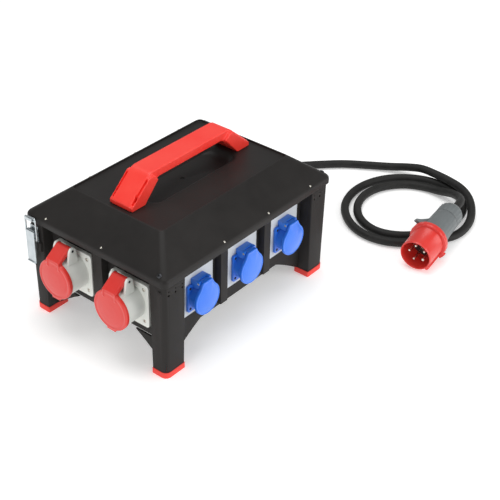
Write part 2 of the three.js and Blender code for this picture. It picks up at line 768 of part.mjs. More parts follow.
// The wire loop that pulls the hood down, with its ends turned in through the lever.
function latchBail() {
  const { x, z } = BAIL_PIVOT;
  const half = 12;
  const limbs = SIGNS.map((s) =>
    join(
      rod("y", WIRE, ...side(s, 7.6, half), x, z, 8).translate([0, LATCH_Y, 0]),
      ball(x, LATCH_Y + s * half, z),
      rod("z", WIRE, z, BAIL_TOP_Z, x, LATCH_Y + s * half, 8),
      ball(x, LATCH_Y + s * half, BAIL_TOP_Z),
    ),
  );
  return join(...limbs, rod("y", WIRE, LATCH_Y - half, LATCH_Y + half, x, BAIL_TOP_Z, 8));
}
const ball = (x, y, z) => solid(new THREE.SphereGeometry(WIRE, 8, 6).translate(x, y, z));

// The hook on the hood that the wire loop lies in.
function latchCatch() {
  const x = BAIL_PIVOT.x;
  const floor = BAIL_TOP_Z - WIRE - GAP;
  const outline = [
    [-210.3, 179.5],
    [-210.3, floor + 1.8],
    [-211.8, floor + 1.8],
    [-211.8, floor],
    [x - 3, floor],
    [x - 3, floor + 3.6],
    [x - 4.4, floor + 3.6],
    [x - 4.4, floor - 1.5],
    [-211.8, floor - 1.5],
    [-211.8, 179.5],
  ];
  return prism("y", outline, LATCH_Y - 8, LATCH_Y + 8);
}

// ---------------------------------------------------------------- gland, cable and plug

function cableGland() {
  const bottom = TUB.x + GAP;
  const hexagon = Array.from({ length: 6 }, (_, i) => {
    const angle = (i * Math.PI) / 3;
    return [GLAND.y + 16 * Math.cos(angle), GLAND.z + 16 * Math.sin(angle)];
  });
  const dome = turned([[0, 0], [14.5, 0], [14.5, 12], [12.5, 18], [10.6, 20.5], [0, 20.5]], 24);
  const turn = new THREE.Matrix4().makeRotationY(Math.PI / 2);
  turn.setPosition(GLAND.end - 20.5, GLAND.y, GLAND.z);
  const body = join(
    prism("x", hexagon, bottom, bottom + 8),
    dome.transform(turn.elements.slice()),
    rod("x", 9, 172, bottom + 1, GLAND.y, GLAND.z),
  );
  return cut(body, rod("x", 8.4, 195, GLAND.end + 1, GLAND.y, GLAND.z));
}

const PLUG_LENGTH = PLUG_FACE.distanceTo(PLUG_TAIL);
const PLUG = { ring: [48, 60], bodyEnd: 122, depth: 40 };

// The red collar: a skirt round the pins, and the flange ring behind it.
function plugCollar() {
  const [ringLow, ringHigh] = PLUG.ring;
  const outer = turned(
    [[0, 0], [28.6, 0], [29.5, 1.5], [29.9, ringLow], [34.8, ringLow + 0.6], [36, ringLow + 2],
      [36, ringHigh - 2], [34, ringHigh], [0, ringHigh]],
    ROUND,
  );
  const key = join(box(-4, 4, -35, -28, 0.5, 13), box(-6, 6, -40, -30, ringLow - 4, ringHigh - 2));
  const bore = turned([[0, -1], [27, -1], [27, ringHigh + 1], [0, ringHigh + 1]], ROUND);
  return cut(join(outer, key), bore);
}

// The moulded block at the bottom of the collar with its five pins.
function plugPinCarrier() {
  const block = turned([[0, PLUG.depth], [26.6, PLUG.depth], [26.6, 59], [0, 59]], ROUND);
  const pins = contactCircle(15.5, 2.5, 3.1).map(([x, y, r]) => rod("z", r, 8, PLUG.depth + 1, x, y, 10));
  return join(block, ...pins);
}

// The grey rear body with the hook that a socket's lid latches on.
function plugShell() {
  const start = PLUG.ring[1] + GAP;
  const body = turned(
    [[0, start], [30, start], [29, start + 6], [25.2, 94], [24.2, PLUG.bodyEnd], [0, PLUG.bodyEnd]],
    ROUND,
  );
  const hook = prism("x", [[24, 64], [43, 60.6], [43, 64], [36, 72], [25, 90]], -3.5, 3.5);
  return join(body, hook);
}

function plugGlandNut() {
  const start = PLUG.bodyEnd + GAP;
  const end = PLUG_LENGTH;
  const nut = turned(
    [[0, start], [23.4, start], [24, start + 1.5], [24, end - 9], [20, end - 3], [13, end], [0, end]],
    ROUND,
  );
  return cut(nut, rod("z", CABLE_RADIUS + 0.4, end - 14, end + 1, 0, 0));
}

function addPlug() {
  const axis = PLUG_TAIL.clone().sub(PLUG_FACE).normalize();
  const roll = (PLUG_ROLL * Math.PI) / 180;
  const across = new THREE.Vector3(0, 0, 1).cross(axis).normalize();
  const up = axis.clone().cross(across);
  const hook = up.multiplyScalar(Math.cos(roll)).add(across.multiplyScalar(Math.sin(roll)));
  const group = new THREE.Group();
  group.matrix.makeBasis(hook.clone().cross(axis), hook, axis).setPosition(PLUG_FACE);
  group.matrix.decompose(group.position, group.quaternion, group.scale);
  model.add(group);
  add("plug_collar", plugCollar(), "lidRed", group);
  add("plug_pin_carrier", plugPinCarrier(), "lidRed", group);
  add("plug_shell", plugShell(), "grey", group);
  add("plug_gland_nut", plugGlandNut(), "grey", group);
}

function cable() {
  const axis = PLUG_TAIL.clone().sub(PLUG_FACE).normalize();
  const into = PLUG_TAIL.clone().addScaledVector(axis, -12).toArray();
  const at = PLUG_TAIL.clone().addScaledVector(axis, 16).toArray();
  return tube([...CABLE_ROUTE, at, into], CABLE_RADIUS, CABLE_STEPS, 8);
}

// ---------------------------------------------------------------- assembly

add("base_shell", baseShell(), "black");
const CORNERS = { front_left: [-1, -1], front_right: [1, -1], rear_left: [-1, 1], rear_right: [1, 1] };
for (const [corner, [sx, sy]] of Object.entries(CORNERS))
  add(`foot_cap_${corner}`, footCap(sx, sy), "red");
add("floor_plate", floorPlate(), "inside");

const SOCKET_NAMES = ["left", "middle", "right"];
SOCKET_X.forEach((x, i) => {
  const group = new THREE.Group();
  group.position.x = x;
  model.add(group);
  add(`socket_plate_${SOCKET_NAMES[i]}`, socketPlate(), "plate", group);
  add(`domestic_socket_${SOCKET_NAMES[i]}`, domesticBody(), "blue", group);
  add(`domestic_insert_${SOCKET_NAMES[i]}`, domesticInsert(), "blue", group);
  add(`domestic_lid_${SOCKET_NAMES[i]}`, domesticLid(), "blue", group);
});

INDUSTRIAL_Y.forEach((y, i) => {
  const place = ["front", "rear"][i];
  const group = new THREE.Group();
  group.position.y = y;
  model.add(group);
  add(`industrial_socket_${place}`, industrialBody(), "pale", group);
  add(`industrial_insert_${place}`, industrialInsert(), "lidRed", group);
  add(`industrial_lid_${place}`, industrialLid(), "lidRed", group);
});

add("din_rail", dinRail(), "steel");
for (const device of BREAKERS) {
  let body = breaker(device);
  if (device.name.startsWith("residual")) {
    const { x, y, radius, travel } = TEST_BUTTON;
    const floor = BREAKER.noseZ - 4;
    const top = BREAKER.noseZ + travel;
    body = cut(body, rod("z", radius + GAP, floor, BREAKER.noseZ + 1, x, y, 12));
    add("test_button", rod("z", radius, floor + travel + GAP, top, x, y, 12), "toggle");
  }
  add(device.name, body, "breaker");
  add(`${device.name}_toggle`, breakerToggle(device), "toggle");
}
add("terminal_block", terminalBlock(), "pale");
add("earth_bar", earthBar(), "brass");
add("deck_cover", deckCover(), "inside");

add("hood", hood(), "black");
add("handle", handle(), "red");
HINGE_MIDDLES.forEach((middle, i) => {
  const reach = KNUCKLE_END - 0.5;
  const pin = rod("x", HINGE.pinRadius, middle - reach, middle + reach, HINGE.y, HINGE.z, 12);
  add(`hood_hinge_pin_${["left", "right"][i]}`, pin, "steel");
});

for (const [place, mirror] of [["left", 1], ["right", -1]]) {
  const group = new THREE.Group();
  group.scale.x = mirror;
  model.add(group);
  add(`latch_base_${place}`, latchBase(), "steel", group);
  add(`latch_lever_${place}`, latchLever(), "steel", group);
  add(`latch_bail_${place}`, latchBail(), "steel", group);
  add(`latch_catch_${place}`, latchCatch(), "steel", group);
}

add("cable_gland", cableGland(), "black");
add("cable", cable(), "rubber");
addPlug();

export default root;
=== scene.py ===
# %% [markdown]
# # A portable power distribution box
# A black moulded box on four legs that carries mains power onto a building site. Its hood hinges
# up over the circuit breakers, three domestic sockets look to the front, two five-pole industrial
# sockets look to the left, and a thick rubber cable ends in a red five-pole plug. The packed
# model is loaded first: it says where every piece sits, which body it moves with, and how large
# it is. Everything made here is placed from those numbers.

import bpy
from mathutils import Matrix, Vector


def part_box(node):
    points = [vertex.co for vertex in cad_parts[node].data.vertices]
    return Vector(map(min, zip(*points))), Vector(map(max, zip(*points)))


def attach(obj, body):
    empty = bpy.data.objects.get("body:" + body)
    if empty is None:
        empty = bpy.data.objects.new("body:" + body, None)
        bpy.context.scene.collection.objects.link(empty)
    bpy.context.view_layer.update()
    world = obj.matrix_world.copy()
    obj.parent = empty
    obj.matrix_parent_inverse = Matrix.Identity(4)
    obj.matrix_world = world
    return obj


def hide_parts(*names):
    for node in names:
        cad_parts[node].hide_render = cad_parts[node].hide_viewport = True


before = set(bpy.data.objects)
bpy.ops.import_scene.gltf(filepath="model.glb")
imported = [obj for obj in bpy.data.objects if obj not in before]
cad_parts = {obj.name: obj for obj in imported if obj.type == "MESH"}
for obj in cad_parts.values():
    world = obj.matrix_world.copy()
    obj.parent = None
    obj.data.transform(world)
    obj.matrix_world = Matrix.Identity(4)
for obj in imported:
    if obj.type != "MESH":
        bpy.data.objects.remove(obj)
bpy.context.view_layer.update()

# %% Modules and the frame's own place
import math

import bmesh
import bpy
from mathutils import Matrix, Vector

MM = 0.001
hood_low, hood_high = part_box("hood")
MIDDLE_X = (hood_low.x + hood_high.x) / 2 / MM  # the tub's middle along X, in millimetres
print("the tub's middle is at x =", round(MIDDLE_X, 2), "mm")

# %% [markdown]
# ## Units
# The maker's drawing is in millimetres from the middle of the tub. Blender works in metres, so
# each mesh is drawn in millimetres and then put in its place by one matrix. The objects
# themselves stay at the origin, unturned and unscaled, so that a pattern that reads Object
# coordinates has the same size on every piece.

# %% From the drawing's millimetres to the frame's metres
TO_FRAME = Matrix.Scale(MM, 4) @ Matrix.Translation((MIDDLE_X, 0, 0))


def point(x, y, z):
    return TO_FRAME @ Vector((x, y, z))


def link(obj):
    bpy.context.scene.collection.objects.link(obj)
    return obj


# %% [markdown]
# ## Camera, floor and light
# The box is seen from its front left corner, from above, with a long lens. The floor is plain
# and pale. Two large soft lights stand low at the front and at the left, so that the walls are
# brighter than the sloping hood, a third hangs above, and the sky is an even pale grey.

# %% Camera
RIGHT = Vector((0.6327, -0.7741, 0.0215)).normalized()
BACK = Vector((-0.6473, -0.5135, 0.5633)).normalized()
camera_data = bpy.data.cameras.new("view_camera")
camera_data.lens = 84.44
camera_data.sensor_width = 36
camera_data.clip_start = 0.05
camera_data.clip_end = 50
camera = link(bpy.data.objects.new("view_camera", camera_data))
turn = Matrix((RIGHT, BACK.cross(RIGHT), BACK)).transposed().to_4x4()
camera.matrix_world = Matrix.Translation(point(-1227.1, -1119.2, 1208.5)) @ turn
bpy.context.scene.camera = camera
print("camera at", [round(c, 3) for c in camera.location])

# %% Lights
world = bpy.data.worlds.new("pale_room")
bpy.context.scene.world = world
world.use_nodes = True
world.node_tree.nodes["Background"].inputs["Color"].default_value = (1, 1, 1, 1)
world.node_tree.nodes["Background"].inputs["Strength"].default_value = 0.42
bpy.context.scene.view_settings.view_transform = "Standard"

LIGHTS = [
    ("front_softbox", (0.7, -2.4, 1.0), 1.8, 30),
    ("left_softbox", (-2.5, -0.2, 1.0), 1.6, 17),
    ("top_softbox", (0.2, 0.3, 3.0), 2.4, 46),
]
for name, place, size, power in LIGHTS:
    data = bpy.data.lights.new(name, "AREA")
    data.size = size
    data.energy = power
    lamp = link(bpy.data.objects.new(name, data))
    lamp.location = place
    lamp.rotation_euler = (Vector((0, 0, 0.15)) - lamp.location).to_track_quat("-Z", "Y").to_euler()

# %% [markdown]
# ## Materials
# Nearly everything here is moulded plastic. What tells one plastic from another is its colour,
# how broad its highlight is, and the fine grain that the mould was etched with. One small
# function adds a node, with its settings and its links, and every material is written with it.

# %% Helpers for nodes and colours
def linear(code):
    """A material's colour from its sRGB hex code."""
    parts = [int(code[i : i + 2], 16) / 255 for i in (1, 3, 5)]
    return [c / 12.92 if c <= 0.04045 else ((c + 0.055) / 1.055) ** 2.4 for c in parts] + [1.0]


def node(tree, kind, inputs=None, **settings):
    """Adds a node. An input is a value, or another node's output to link from."""
    made = tree.nodes.new(kind)
    for name, value in settings.items():
        setattr(made, name, value)
    for key, value in (inputs or {}).items():
        socket = made.inputs[key]
        if isinstance(value, bpy.types.NodeSocket):
            tree.links.new(value, socket)
        else:
            socket.default_value = value
    return made


def new_material(name):
    material = bpy.data.materials.new(name)
    material.use_nodes = True
    return material, material.node_tree, material.node_tree.nodes["Principled BSDF"]


def grains(size_mm):
    """Noise scale for features that repeat every so many millimetres on Object coordinates."""
    return 1000 / size_mm


# %% [markdown]
# ### Moulded plastics
# ABS and polyamide come out of a spark-eroded mould with an even, fine grain. Handling rubs the
# grain flat along edges, which turns them a little paler and shinier, and dust and fingers
# leave broad, faint patches. So each plastic has: a grain as bump, patches in colour and
# roughness, and paler worn edges found by the surface's own pointiness.

# %% Moulded plastic materials
def moulded_plastic(name, colour, worn, roughness, grain_mm, grain_height, coat=0.0, shine=0.5):
    material, tree, shader = new_material(name)
    place = node(tree, "ShaderNodeTexCoord").outputs["Object"]
    patches = node(
        tree, "ShaderNodeTexNoise", {"Vector": place, "Scale": grains(60), "Detail": 4.0, "Roughness": 0.6}
    ).outputs["Fac"]
    grain = node(
        tree, "ShaderNodeTexNoise", {"Vector": place, "Scale": grains(grain_mm), "Detail": 2.0}
    ).outputs["Fac"]
    edge = node(
        tree,
        "ShaderNodeMapRange",
        {
            "Value": node(tree, "ShaderNodeNewGeometry").outputs["Pointiness"],
            "From Min": 0.54,
            "From Max": 0.66,
            "To Max": 0.45,
        },
    ).outputs["Result"]
    rubbed = node(
        tree, "ShaderNodeMath", {0: edge, 1: patches}, operation="MULTIPLY", use_clamp=True
    ).outputs["Value"]
    shade = node(
        tree,
        "ShaderNodeMapRange",
        {"Value": patches, "From Min": 0.3, "From Max": 0.7, "To Min": 0.0, "To Max": 0.22},
    ).outputs["Result"]
    body = node(
        tree,
        "ShaderNodeMix",
        {"Factor": shade, 6: linear(colour), 7: linear(worn)},
        data_type="RGBA",
    ).outputs[2]
    mixed = node(
        tree, "ShaderNodeMix", {"Factor": rubbed, 6: body, 7: linear(worn)}, data_type="RGBA"
    ).outputs[2]
    tree.links.new(mixed, shader.inputs["Base Color"])
    rough = node(
        tree,
        "ShaderNodeMapRange",
        {
            "Value": patches,
            "From Min": 0.25,
            "From Max": 0.75,
            "To Min": roughness - 0.05,
            "To Max": roughness + 0.07,
        },
    ).outputs["Result"]
    tree.links.new(rough, shader.inputs["Roughness"])
    bump = node(
        tree, "ShaderNodeBump", {"Height": grain, "Strength": 0.35, "Distance": grain_height * MM}
    ).outputs["Normal"]
    tree.links.new(bump, shader.inputs["Normal"])
    shader.inputs["IOR"].default_value = 1.5
    shader.inputs["Specular IOR Level"].default_value = shine
    shader.inputs["Coat Weight"].default_value = coat
    shader.inputs["Coat Roughness"].default_value = 0.2
    return material


MATERIALS = {
    # Impact-resistant black ABS, spark-eroded mould: dull, with a grain that the eye just finds.
    "housing": moulded_plastic(
        "black_grained_abs_housing", "#211f1e", "#383533", 0.6, 1.6, 0.25, shine=0.22
    ),
    # The hood is the same ABS, carried, stacked and wiped, so its grain is a little flatter.
    "hood": moulded_plastic("black_grained_abs_hood", "#1e1c1b", "#363331", 0.45, 1.6, 0.2, shine=0.22),
    # Smooth black polystyrene inside, which nobody touches.
    "inside": moulded_plastic("black_smooth_polystyrene", "#33322f", "#4a4946", 0.5, 2.5, 0.1),
    # Red polyamide handle, satin where hands polish it.
    "handle": moulded_plastic("red_satin_polyamide_handle", "#f52f24", "#ff6a58", 0.4, 2.0, 0.18, 0.15),
    # Softer red elastomer on the feet, duller than the handle.
    "foot": moulded_plastic("red_soft_elastomer_feet", "#ea352b", "#f4665a", 0.55, 2.0, 0.2),
    # Blue polyamide domestic sockets, smooth and fairly glossy.
    "blue": moulded_plastic("blue_polyamide_sockets", "#1f6fe6", "#5a9df5", 0.32, 3.0, 0.1, 0.25),
    # Red polyamide lids of the industrial sockets and the plug's collar.
    "lid_red": moulded_plastic("red_polyamide_lids", "#d5271f", "#e8594f", 0.33, 3.0, 0.1, 0.25),
    # Pale grey polyamide bodies of the industrial sockets.
    "pale": moulded_plastic("pale_grey_polyamide", "#e1e4de", "#f2f3ef", 0.42, 2.5, 0.12, 0.1),
    # Light grey vinyl backing plates behind the domestic sockets.
    "plate": moulded_plastic("light_grey_vinyl_plate", "#c8cdd2", "#dde1e4", 0.45, 2.0, 0.1),
    # Dark grey polyamide rear of the plug.
    "plug_grey": moulded_plastic("dark_grey_polyamide_plug", "#64696a", "#83898a", 0.5, 1.8, 0.2),
    # Off-white thermoset cases of the circuit breakers.
    "breaker": moulded_plastic("off_white_thermoset", "#dcdcd6", "#eeeeea", 0.45, 2.0, 0.1),
    # Dark blue levers of the breakers.
    "toggle": moulded_plastic("dark_blue_polycarbonate", "#1f4f9e", "#4a7cc8", 0.3, 3.0, 0.08, 0.2),
    # Black glossy cores: the dark insulating face inside a socket or round the plug's pins.
    "core": moulded_plastic("black_phenolic_core", "#1d1c1b", "#3a3938", 0.35, 3.0, 0.08),
}
print("plastics:", len(MATERIALS))

# %% [markdown]
# ### Metals and rubber
# The latches are stamped from sheet steel and zinc plated: bright, faintly blue, drawn in one
# direction by the rolling mill. Pins and screws are nickel plated. The earth bar is bare brass.
# The cable's sheath is extruded rubber, matt and dusty, with fine lines along its length.

# %% Metal and rubber materials
def plated_metal(name, colour, dull, roughness, streak_mm):
    material, tree, shader = new_material(name)
    place = node(tree, "ShaderNodeTexCoord").outputs["Object"]
    drawn = node(
        tree, "ShaderNodeMapping", {"Vector": place, "Scale": (1, 1, 0.08)}
    ).outputs["Vector"]
    streaks = node(
        tree, "ShaderNodeTexNoise", {"Vector": drawn, "Scale": grains(streak_mm), "Detail": 3.0}
    ).outputs["Fac"]
    bloom = node(
        tree, "ShaderNodeTexNoise", {"Vector": place, "Scale": grains(9), "Detail": 5.0}
    ).outputs["Fac"]
    tint = node(
        tree, "ShaderNodeMix", {"Factor": bloom, 6: linear(colour), 7: linear(dull)}, data_type="RGBA"
    ).outputs[2]
    tree.links.new(tint, shader.inputs["Base Color"])
    rough = node(
        tree,
        "ShaderNodeMapRange",
        {
            "Value": streaks,
            "From Min": 0.3,
            "From Max": 0.7,
            "To Min": roughness - 0.06,
            "To Max": roughness + 0.1,
        },
    ).outputs["Result"]
    tree.links.new(rough, shader.inputs["Roughness"])
    bump = node(
        tree, "ShaderNodeBump", {"Height": streaks, "Strength": 0.25, "Distance": 0.06 * MM}
    ).outputs["Normal"]
    tree.links.new(bump, shader.inputs["Normal"])
    shader.inputs["Metallic"].default_value = 1.0
    return material


MATERIALS["zinc"] = plated_metal("zinc_plated_sheet_steel", "#d3d9dc", "#b4bcc0", 0.34, 0.9)
MATERIALS["nickel"] = plated_metal("nickel_plated_brass", "#dcd8cf", "#c4bfb4", 0.22, 1.2)
# Blackened steel for the small screws and hinge pins. On the two hood studs this dark metal is also painted
# shade: it stands in for the shaded recess that each stud sits in.
MATERIALS["dark_screw"] = plated_metal("blackened_steel_and_painted_recess_shade", "#55565a", "#2e2f31", 0.4, 1.2)
MATERIALS["brass"] = plated_metal("bare_brass_bar", "#d0a552", "#b08a3e", 0.35, 1.0)


def rubber_sheath():
    # Extruded chloroprene rubber: matt black, dusty, with faint drawn lines and scuffs.
    material, tree, shader = new_material("black_rubber_cable_sheath")
    place = node(tree, "ShaderNodeTexCoord").outputs["Object"]
    dust = node(
        tree, "ShaderNodeTexNoise", {"Vector": place, "Scale": grains(25), "Detail": 6.0, "Roughness": 0.65}
    ).outputs["Fac"]
    pores = node(
        tree, "ShaderNodeTexNoise", {"Vector": place, "Scale": grains(1.3), "Detail": 3.0}
    ).outputs["Fac"]
    shade = node(
        tree,
        "ShaderNodeMapRange",
        {"Value": dust, "From Min": 0.42, "From Max": 0.75, "To Min": 0.0, "To Max": 0.4},
    ).outputs["Result"]
    colour = node(
        tree,
        "ShaderNodeMix",
        {"Factor": shade, 6: linear("#1b1b1a"), 7: linear("#3a3937")},
        data_type="RGBA",
    ).outputs[2]
    tree.links.new(colour, shader.inputs["Base Color"])
    rough = node(
        tree,
        "ShaderNodeMapRange",
        {"Value": dust, "From Min": 0.3, "From Max": 0.7, "To Min": 0.5, "To Max": 0.68},
    ).outputs["Result"]
    tree.links.new(rough, shader.inputs["Roughness"])
    bump = node(
        tree, "ShaderNodeBump", {"Height": pores, "Strength": 0.4, "Distance": 0.25 * MM}
    ).outputs["Normal"]
    tree.links.new(bump, shader.inputs["Normal"])
    shader.inputs["Specular IOR Level"].default_value = 0.3
    return material


MATERIALS["rubber"] = rubber_sheath()


def plain_floor():
    # Painted white board: nearly even, so that the object's soft shadow is all one sees.
    material, tree, shader = new_material("white_painted_floor")
    place = node(tree, "ShaderNodeTexCoord").outputs["Object"]
    cloud = node(
        tree, "ShaderNodeTexNoise", {"Vector": place, "Scale": grains(400), "Detail": 2.0}
    ).outputs["Fac"]
    tone = node(
        tree,
        "ShaderNodeMix",
        {"Factor": cloud, 6: linear("#fbfbfb"), 7: linear("#f6f6f5")},
        data_type="RGBA",
    ).outputs[2]
    tree.links.new(tone, shader.inputs["Base Color"])
    shader.inputs["Roughness"].default_value = 0.8
    shader.inputs["Emission Color"].default_value = (1, 1, 1, 1)
    shader.inputs["Emission Strength"].default_value = 0.3
    return material


floor_mesh = bpy.data.meshes.new("floor")
floor_mesh.from_pydata([(-6, -6, 0), (6, -6, 0), (6, 6, 0), (-6, 6, 0)], [], [(0, 1, 2, 3)])
floor_mesh.materials.append(plain_floor())
floor = link(bpy.data.objects.new("floor", floor_mesh))

# %% [markdown]
# ## Making pieces
# A finished piece gets its mesh, its material, its body and its finish in one place. Flat
# neighbouring faces share one smooth shading only where they meet at a shallow angle, so that
# rounded edges look rounded and crisp edges stay crisp.

# %% Helpers that finish a piece
def finished(name, mesh, material, body, stands_for=(), sharp=35):
    mesh.materials.clear()
    mesh.materials.append(MATERIALS[material])
    mesh.polygons.foreach_set("use_smooth", [True] * len(mesh.polygons))
    mesh.polygons.foreach_set("material_index", [0] * len(mesh.polygons))
    mesh.set_sharp_from_angle(angle=math.radians(sharp))
    piece = link(bpy.data.objects.new(name, mesh))
    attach(piece, body)
    if stands_for:
        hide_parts(*stands_for)
    return piece


def mesh_of(name, drawing, matrix=TO_FRAME):
    """A mesh in the frame's metres from a bmesh in millimetres, with its faces turned outwards."""
    bmesh.ops.remove_doubles(drawing, verts=drawing.verts, dist=0.001)
    bmesh.ops.recalc_face_normals(drawing, faces=drawing.faces)
    drawing.transform(matrix)
    mesh = bpy.data.meshes.new(name)
    drawing.to_mesh(mesh)
    drawing.free()
    return mesh


def evaluated(mesh, *modifiers):
    """A new mesh with the modifiers applied, in order. Each is a kind and its settings."""
    carrier = link(bpy.data.objects.new("carrier", mesh))
    for kind, settings in modifiers:
        modifier = carrier.modifiers.new(kind, kind)
        for key, value in settings.items():
            setattr(modifier, key, value)
    graph = bpy.context.evaluated_depsgraph_get()
    made = bpy.data.meshes.new_from_object(carrier.evaluated_get(graph))
    made.name = mesh.name
    bpy.data.objects.remove(carrier)
    return made


def bevelled(width_mm, segments=2, angle=30):
    return (
        "BEVEL",
        {
            "width": width_mm * MM,
            "segments": segments,
            "limit_method": "ANGLE",
            "angle_limit": math.radians(angle),
            "use_clamp_overlap": True,
            "harden_normals": False,
        },
    )


# %% [markdown]
# ### Keeping a node's own shape
# Many nodes already have the right shape, such as the stamped latches and the breakers. Their
# meshes are loose triangles with knife-sharp edges. A merged copy, with its flat faces joined
# up, can be given the small radius that every moulded or stamped edge has, which is what
# catches the light.

# %% Refined copies of nodes
def refined(node_name, material, body, edge_mm=0.5, segments=2, sharp=35):
    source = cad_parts[node_name].data
    drawing = bmesh.new()
    drawing.from_mesh(source)
    bmesh.ops.remove_doubles(drawing, verts=drawing.verts, dist=2e-6)
    bmesh.ops.dissolve_limit(
        drawing, angle_limit=math.radians(1), verts=drawing.verts, edges=drawing.edges
    )
    mesh = bpy.data.meshes.new(node_name + "_piece")
    drawing.to_mesh(mesh)
    drawing.free()
    mesh = evaluated(mesh, bevelled(edge_mm, segments))
    return finished(node_name + "_piece", mesh, material, body, [node_name], sharp)


# %% [markdown]
# ## The cable
# The cable comes first, because its length decides how much floor it covers. It is a five-core
# rubber cable 16 mm thick. It leaves the gland on the right side, sinks to the floor behind the
# box, and lies in two loose turns before it climbs into the plug's gland nut. The points below
# are the same as in the solid model, in metres, and the curve runs smoothly through them.

# %% The cable's route
CABLE_DIAMETER = 0.016
ROUTE = [
    (0.22295, 0.088, 0.076), (0.25865, 0.089, 0.074), (0.29865, 0.093, 0.065),
    (0.34065, 0.098, 0.05), (0.38265, 0.101, 0.034), (0.42265, 0.099, 0.02),
    (0.46065, 0.086, 0.0115), (0.49465, 0.062, 0.0085), (0.52865, 0.028, 0.0083),
    (0.55765, -0.014, 0.0086), (0.57965, -0.054, 0.011), (0.59065, -0.088, 0.018),
    (0.59365, -0.118, 0.0243), (0.59265, -0.15, 0.0248), (0.58865, -0.182, 0.0248),
    (0.58065, -0.212, 0.0246), (0.56465, -0.24, 0.023), (0.54165, -0.262, 0.018),
    (0.51265, -0.278, 0.0115), (0.47865, -0.285, 0.0086), (0.44665, -0.282, 0.0083),
    (0.41865, -0.268, 0.0083), (0.38965, -0.247, 0.0083), (0.36365, -0.222, 0.0083),
    (0.34665, -0.193, 0.0083), (0.34065, -0.16, 0.0083), (0.34765, -0.126, 0.0083),
    (0.36765, -0.094, 0.0083), (0.39765, -0.068, 0.0083), (0.43565, -0.053, 0.0083),
    (0.47465, -0.05, 0.0083), (0.51165, -0.058, 0.0083), (0.54465, -0.077, 0.0083),
    (0.56965, -0.105, 0.0083), (0.58565, -0.138, 0.0083), (0.58865, -0.172, 0.0083),
    (0.58065, -0.205, 0.0083), (0.56165, -0.232, 0.0083), (0.53165, -0.25, 0.0083),
    (0.49665, -0.256, 0.0083), (0.46065, -0.252, 0.0083), (0.42765, -0.241, 0.0083),
    (0.39865, -0.223, 0.0083), (0.37665, -0.198, 0.0083), (0.36565, -0.167, 0.0083),
    (0.37065, -0.134, 0.0083), (0.38965, -0.105, 0.0083), (0.41865, -0.084, 0.0083),
    (0.45365, -0.074, 0.0083), (0.48865, -0.077, 0.0083), (0.52065, -0.092, 0.0083),
    (0.54565, -0.116, 0.0083), (0.55965, -0.147, 0.0086), (0.56165, -0.18, 0.012),
    (0.55265, -0.211, 0.023), (0.53365, -0.237, 0.034), (0.50665, -0.255, 0.044),
]
PLUG_FACE = point(303, -280, 32.4)
PLUG_TAIL = point(457, -263.5, 46.4)
plug_axis = (PLUG_TAIL - PLUG_FACE).normalized()
ROUTE += [tuple(PLUG_TAIL + 0.016 * plug_axis), tuple(PLUG_TAIL - 0.012 * plug_axis)]


def smooth_route(points, steps):
    """Points along a centripetal Catmull-Rom curve through the given ones."""
    p = [Vector(q) for q in points]
    p = [2 * p[0] - p[1]] + p + [2 * p[-1] - p[-2]]
    out = []
    for i in range(1, len(p) - 2):
        a, b, c, d = p[i - 1 : i + 3]
        t0 = 0.0
        t1 = t0 + math.sqrt((b - a).length)
        t2 = t1 + math.sqrt((c - b).length)
        t3 = t2 + math.sqrt((d - c).length)
        for k in range(steps):
            t = t1 + (t2 - t1) * k / steps
            ab = (t1 - t) / (t1 - t0) * a + (t - t0) / (t1 - t0) * b
            bc = (t2 - t) / (t2 - t1) * b + (t - t1) / (t2 - t1) * c
            cd = (t3 - t) / (t3 - t2) * c + (t - t2) / (t3 - t2) * d
            abc = (t2 - t) / (t2 - t0) * ab + (t - t0) / (t2 - t0) * bc
            bcd = (t3 - t) / (t3 - t1) * bc + (t - t1) / (t3 - t1) * cd
            out.append((t2 - t) / (t2 - t1) * abc + (t - t1) / (t2 - t1) * bcd)
    out.append(p[-2])
    return out


route = smooth_route(ROUTE, 8)

# %% The cable as a round curve
cable_curve = bpy.data.curves.new("cable_sheath", "CURVE")
cable_curve.dimensions = "3D"
cable_curve.bevel_depth = CABLE_DIAMETER / 2
cable_curve.bevel_resolution = 5
cable_curve.use_fill_caps = True
spline = cable_curve.splines.new("POLY")
spline.points.add(len(route) - 1)
for control, place in zip(spline.points, route):
    control.co = (*place, 1)
spline.use_smooth = True
cable_curve.materials.append(MATERIALS["rubber"])
cable = link(bpy.data.objects.new("cable_sheath", cable_curve))
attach(cable, "base")
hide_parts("cable")


# %% [markdown]
# ## Turned and swept pieces
# Round pieces are turned from a profile of radius and height, as on a lathe. Grip ribs are made
# by letting the radius swell and shrink with the angle. A sleeve or a bent wire is a tube swept
# along points, whose radius may change on the way.

# %% Lathe and tube
def lathe(profile, sides=64, lobes=0, depth=0.0, lobed=(0, 0)):
    """A closed turned body along Z. Rings between the two heights in lobed get the ribs."""
    drawing = bmesh.new()
    rings = []
    for radius, height in profile:
        ribbed = lobes and lobed[0] <= height <= lobed[1]
        ring = []
        for i in range(sides):
            angle = 2 * math.pi * i / sides
            swell = depth * max(-0.6, math.cos(lobes * angle)) if ribbed else 0
            ring.append(
                drawing.verts.new(
                    ((radius + swell) * math.cos(angle), (radius + swell) * math.sin(angle), height)
                )
            )
        rings.append(ring)
    skin(drawing, rings)
    return drawing


def skin(drawing, rings):
    """Joins rings of equal count by quads, and closes the first and the last."""
    count = len(rings[0])
    for low, high in zip(rings, rings[1:]):
        for i in range(count):
            j = (i + 1) % count
            drawing.faces.new((low[i], low[j], high[j], high[i]))
    drawing.faces.new(rings[0][::-1])
    drawing.faces.new(rings[-1])


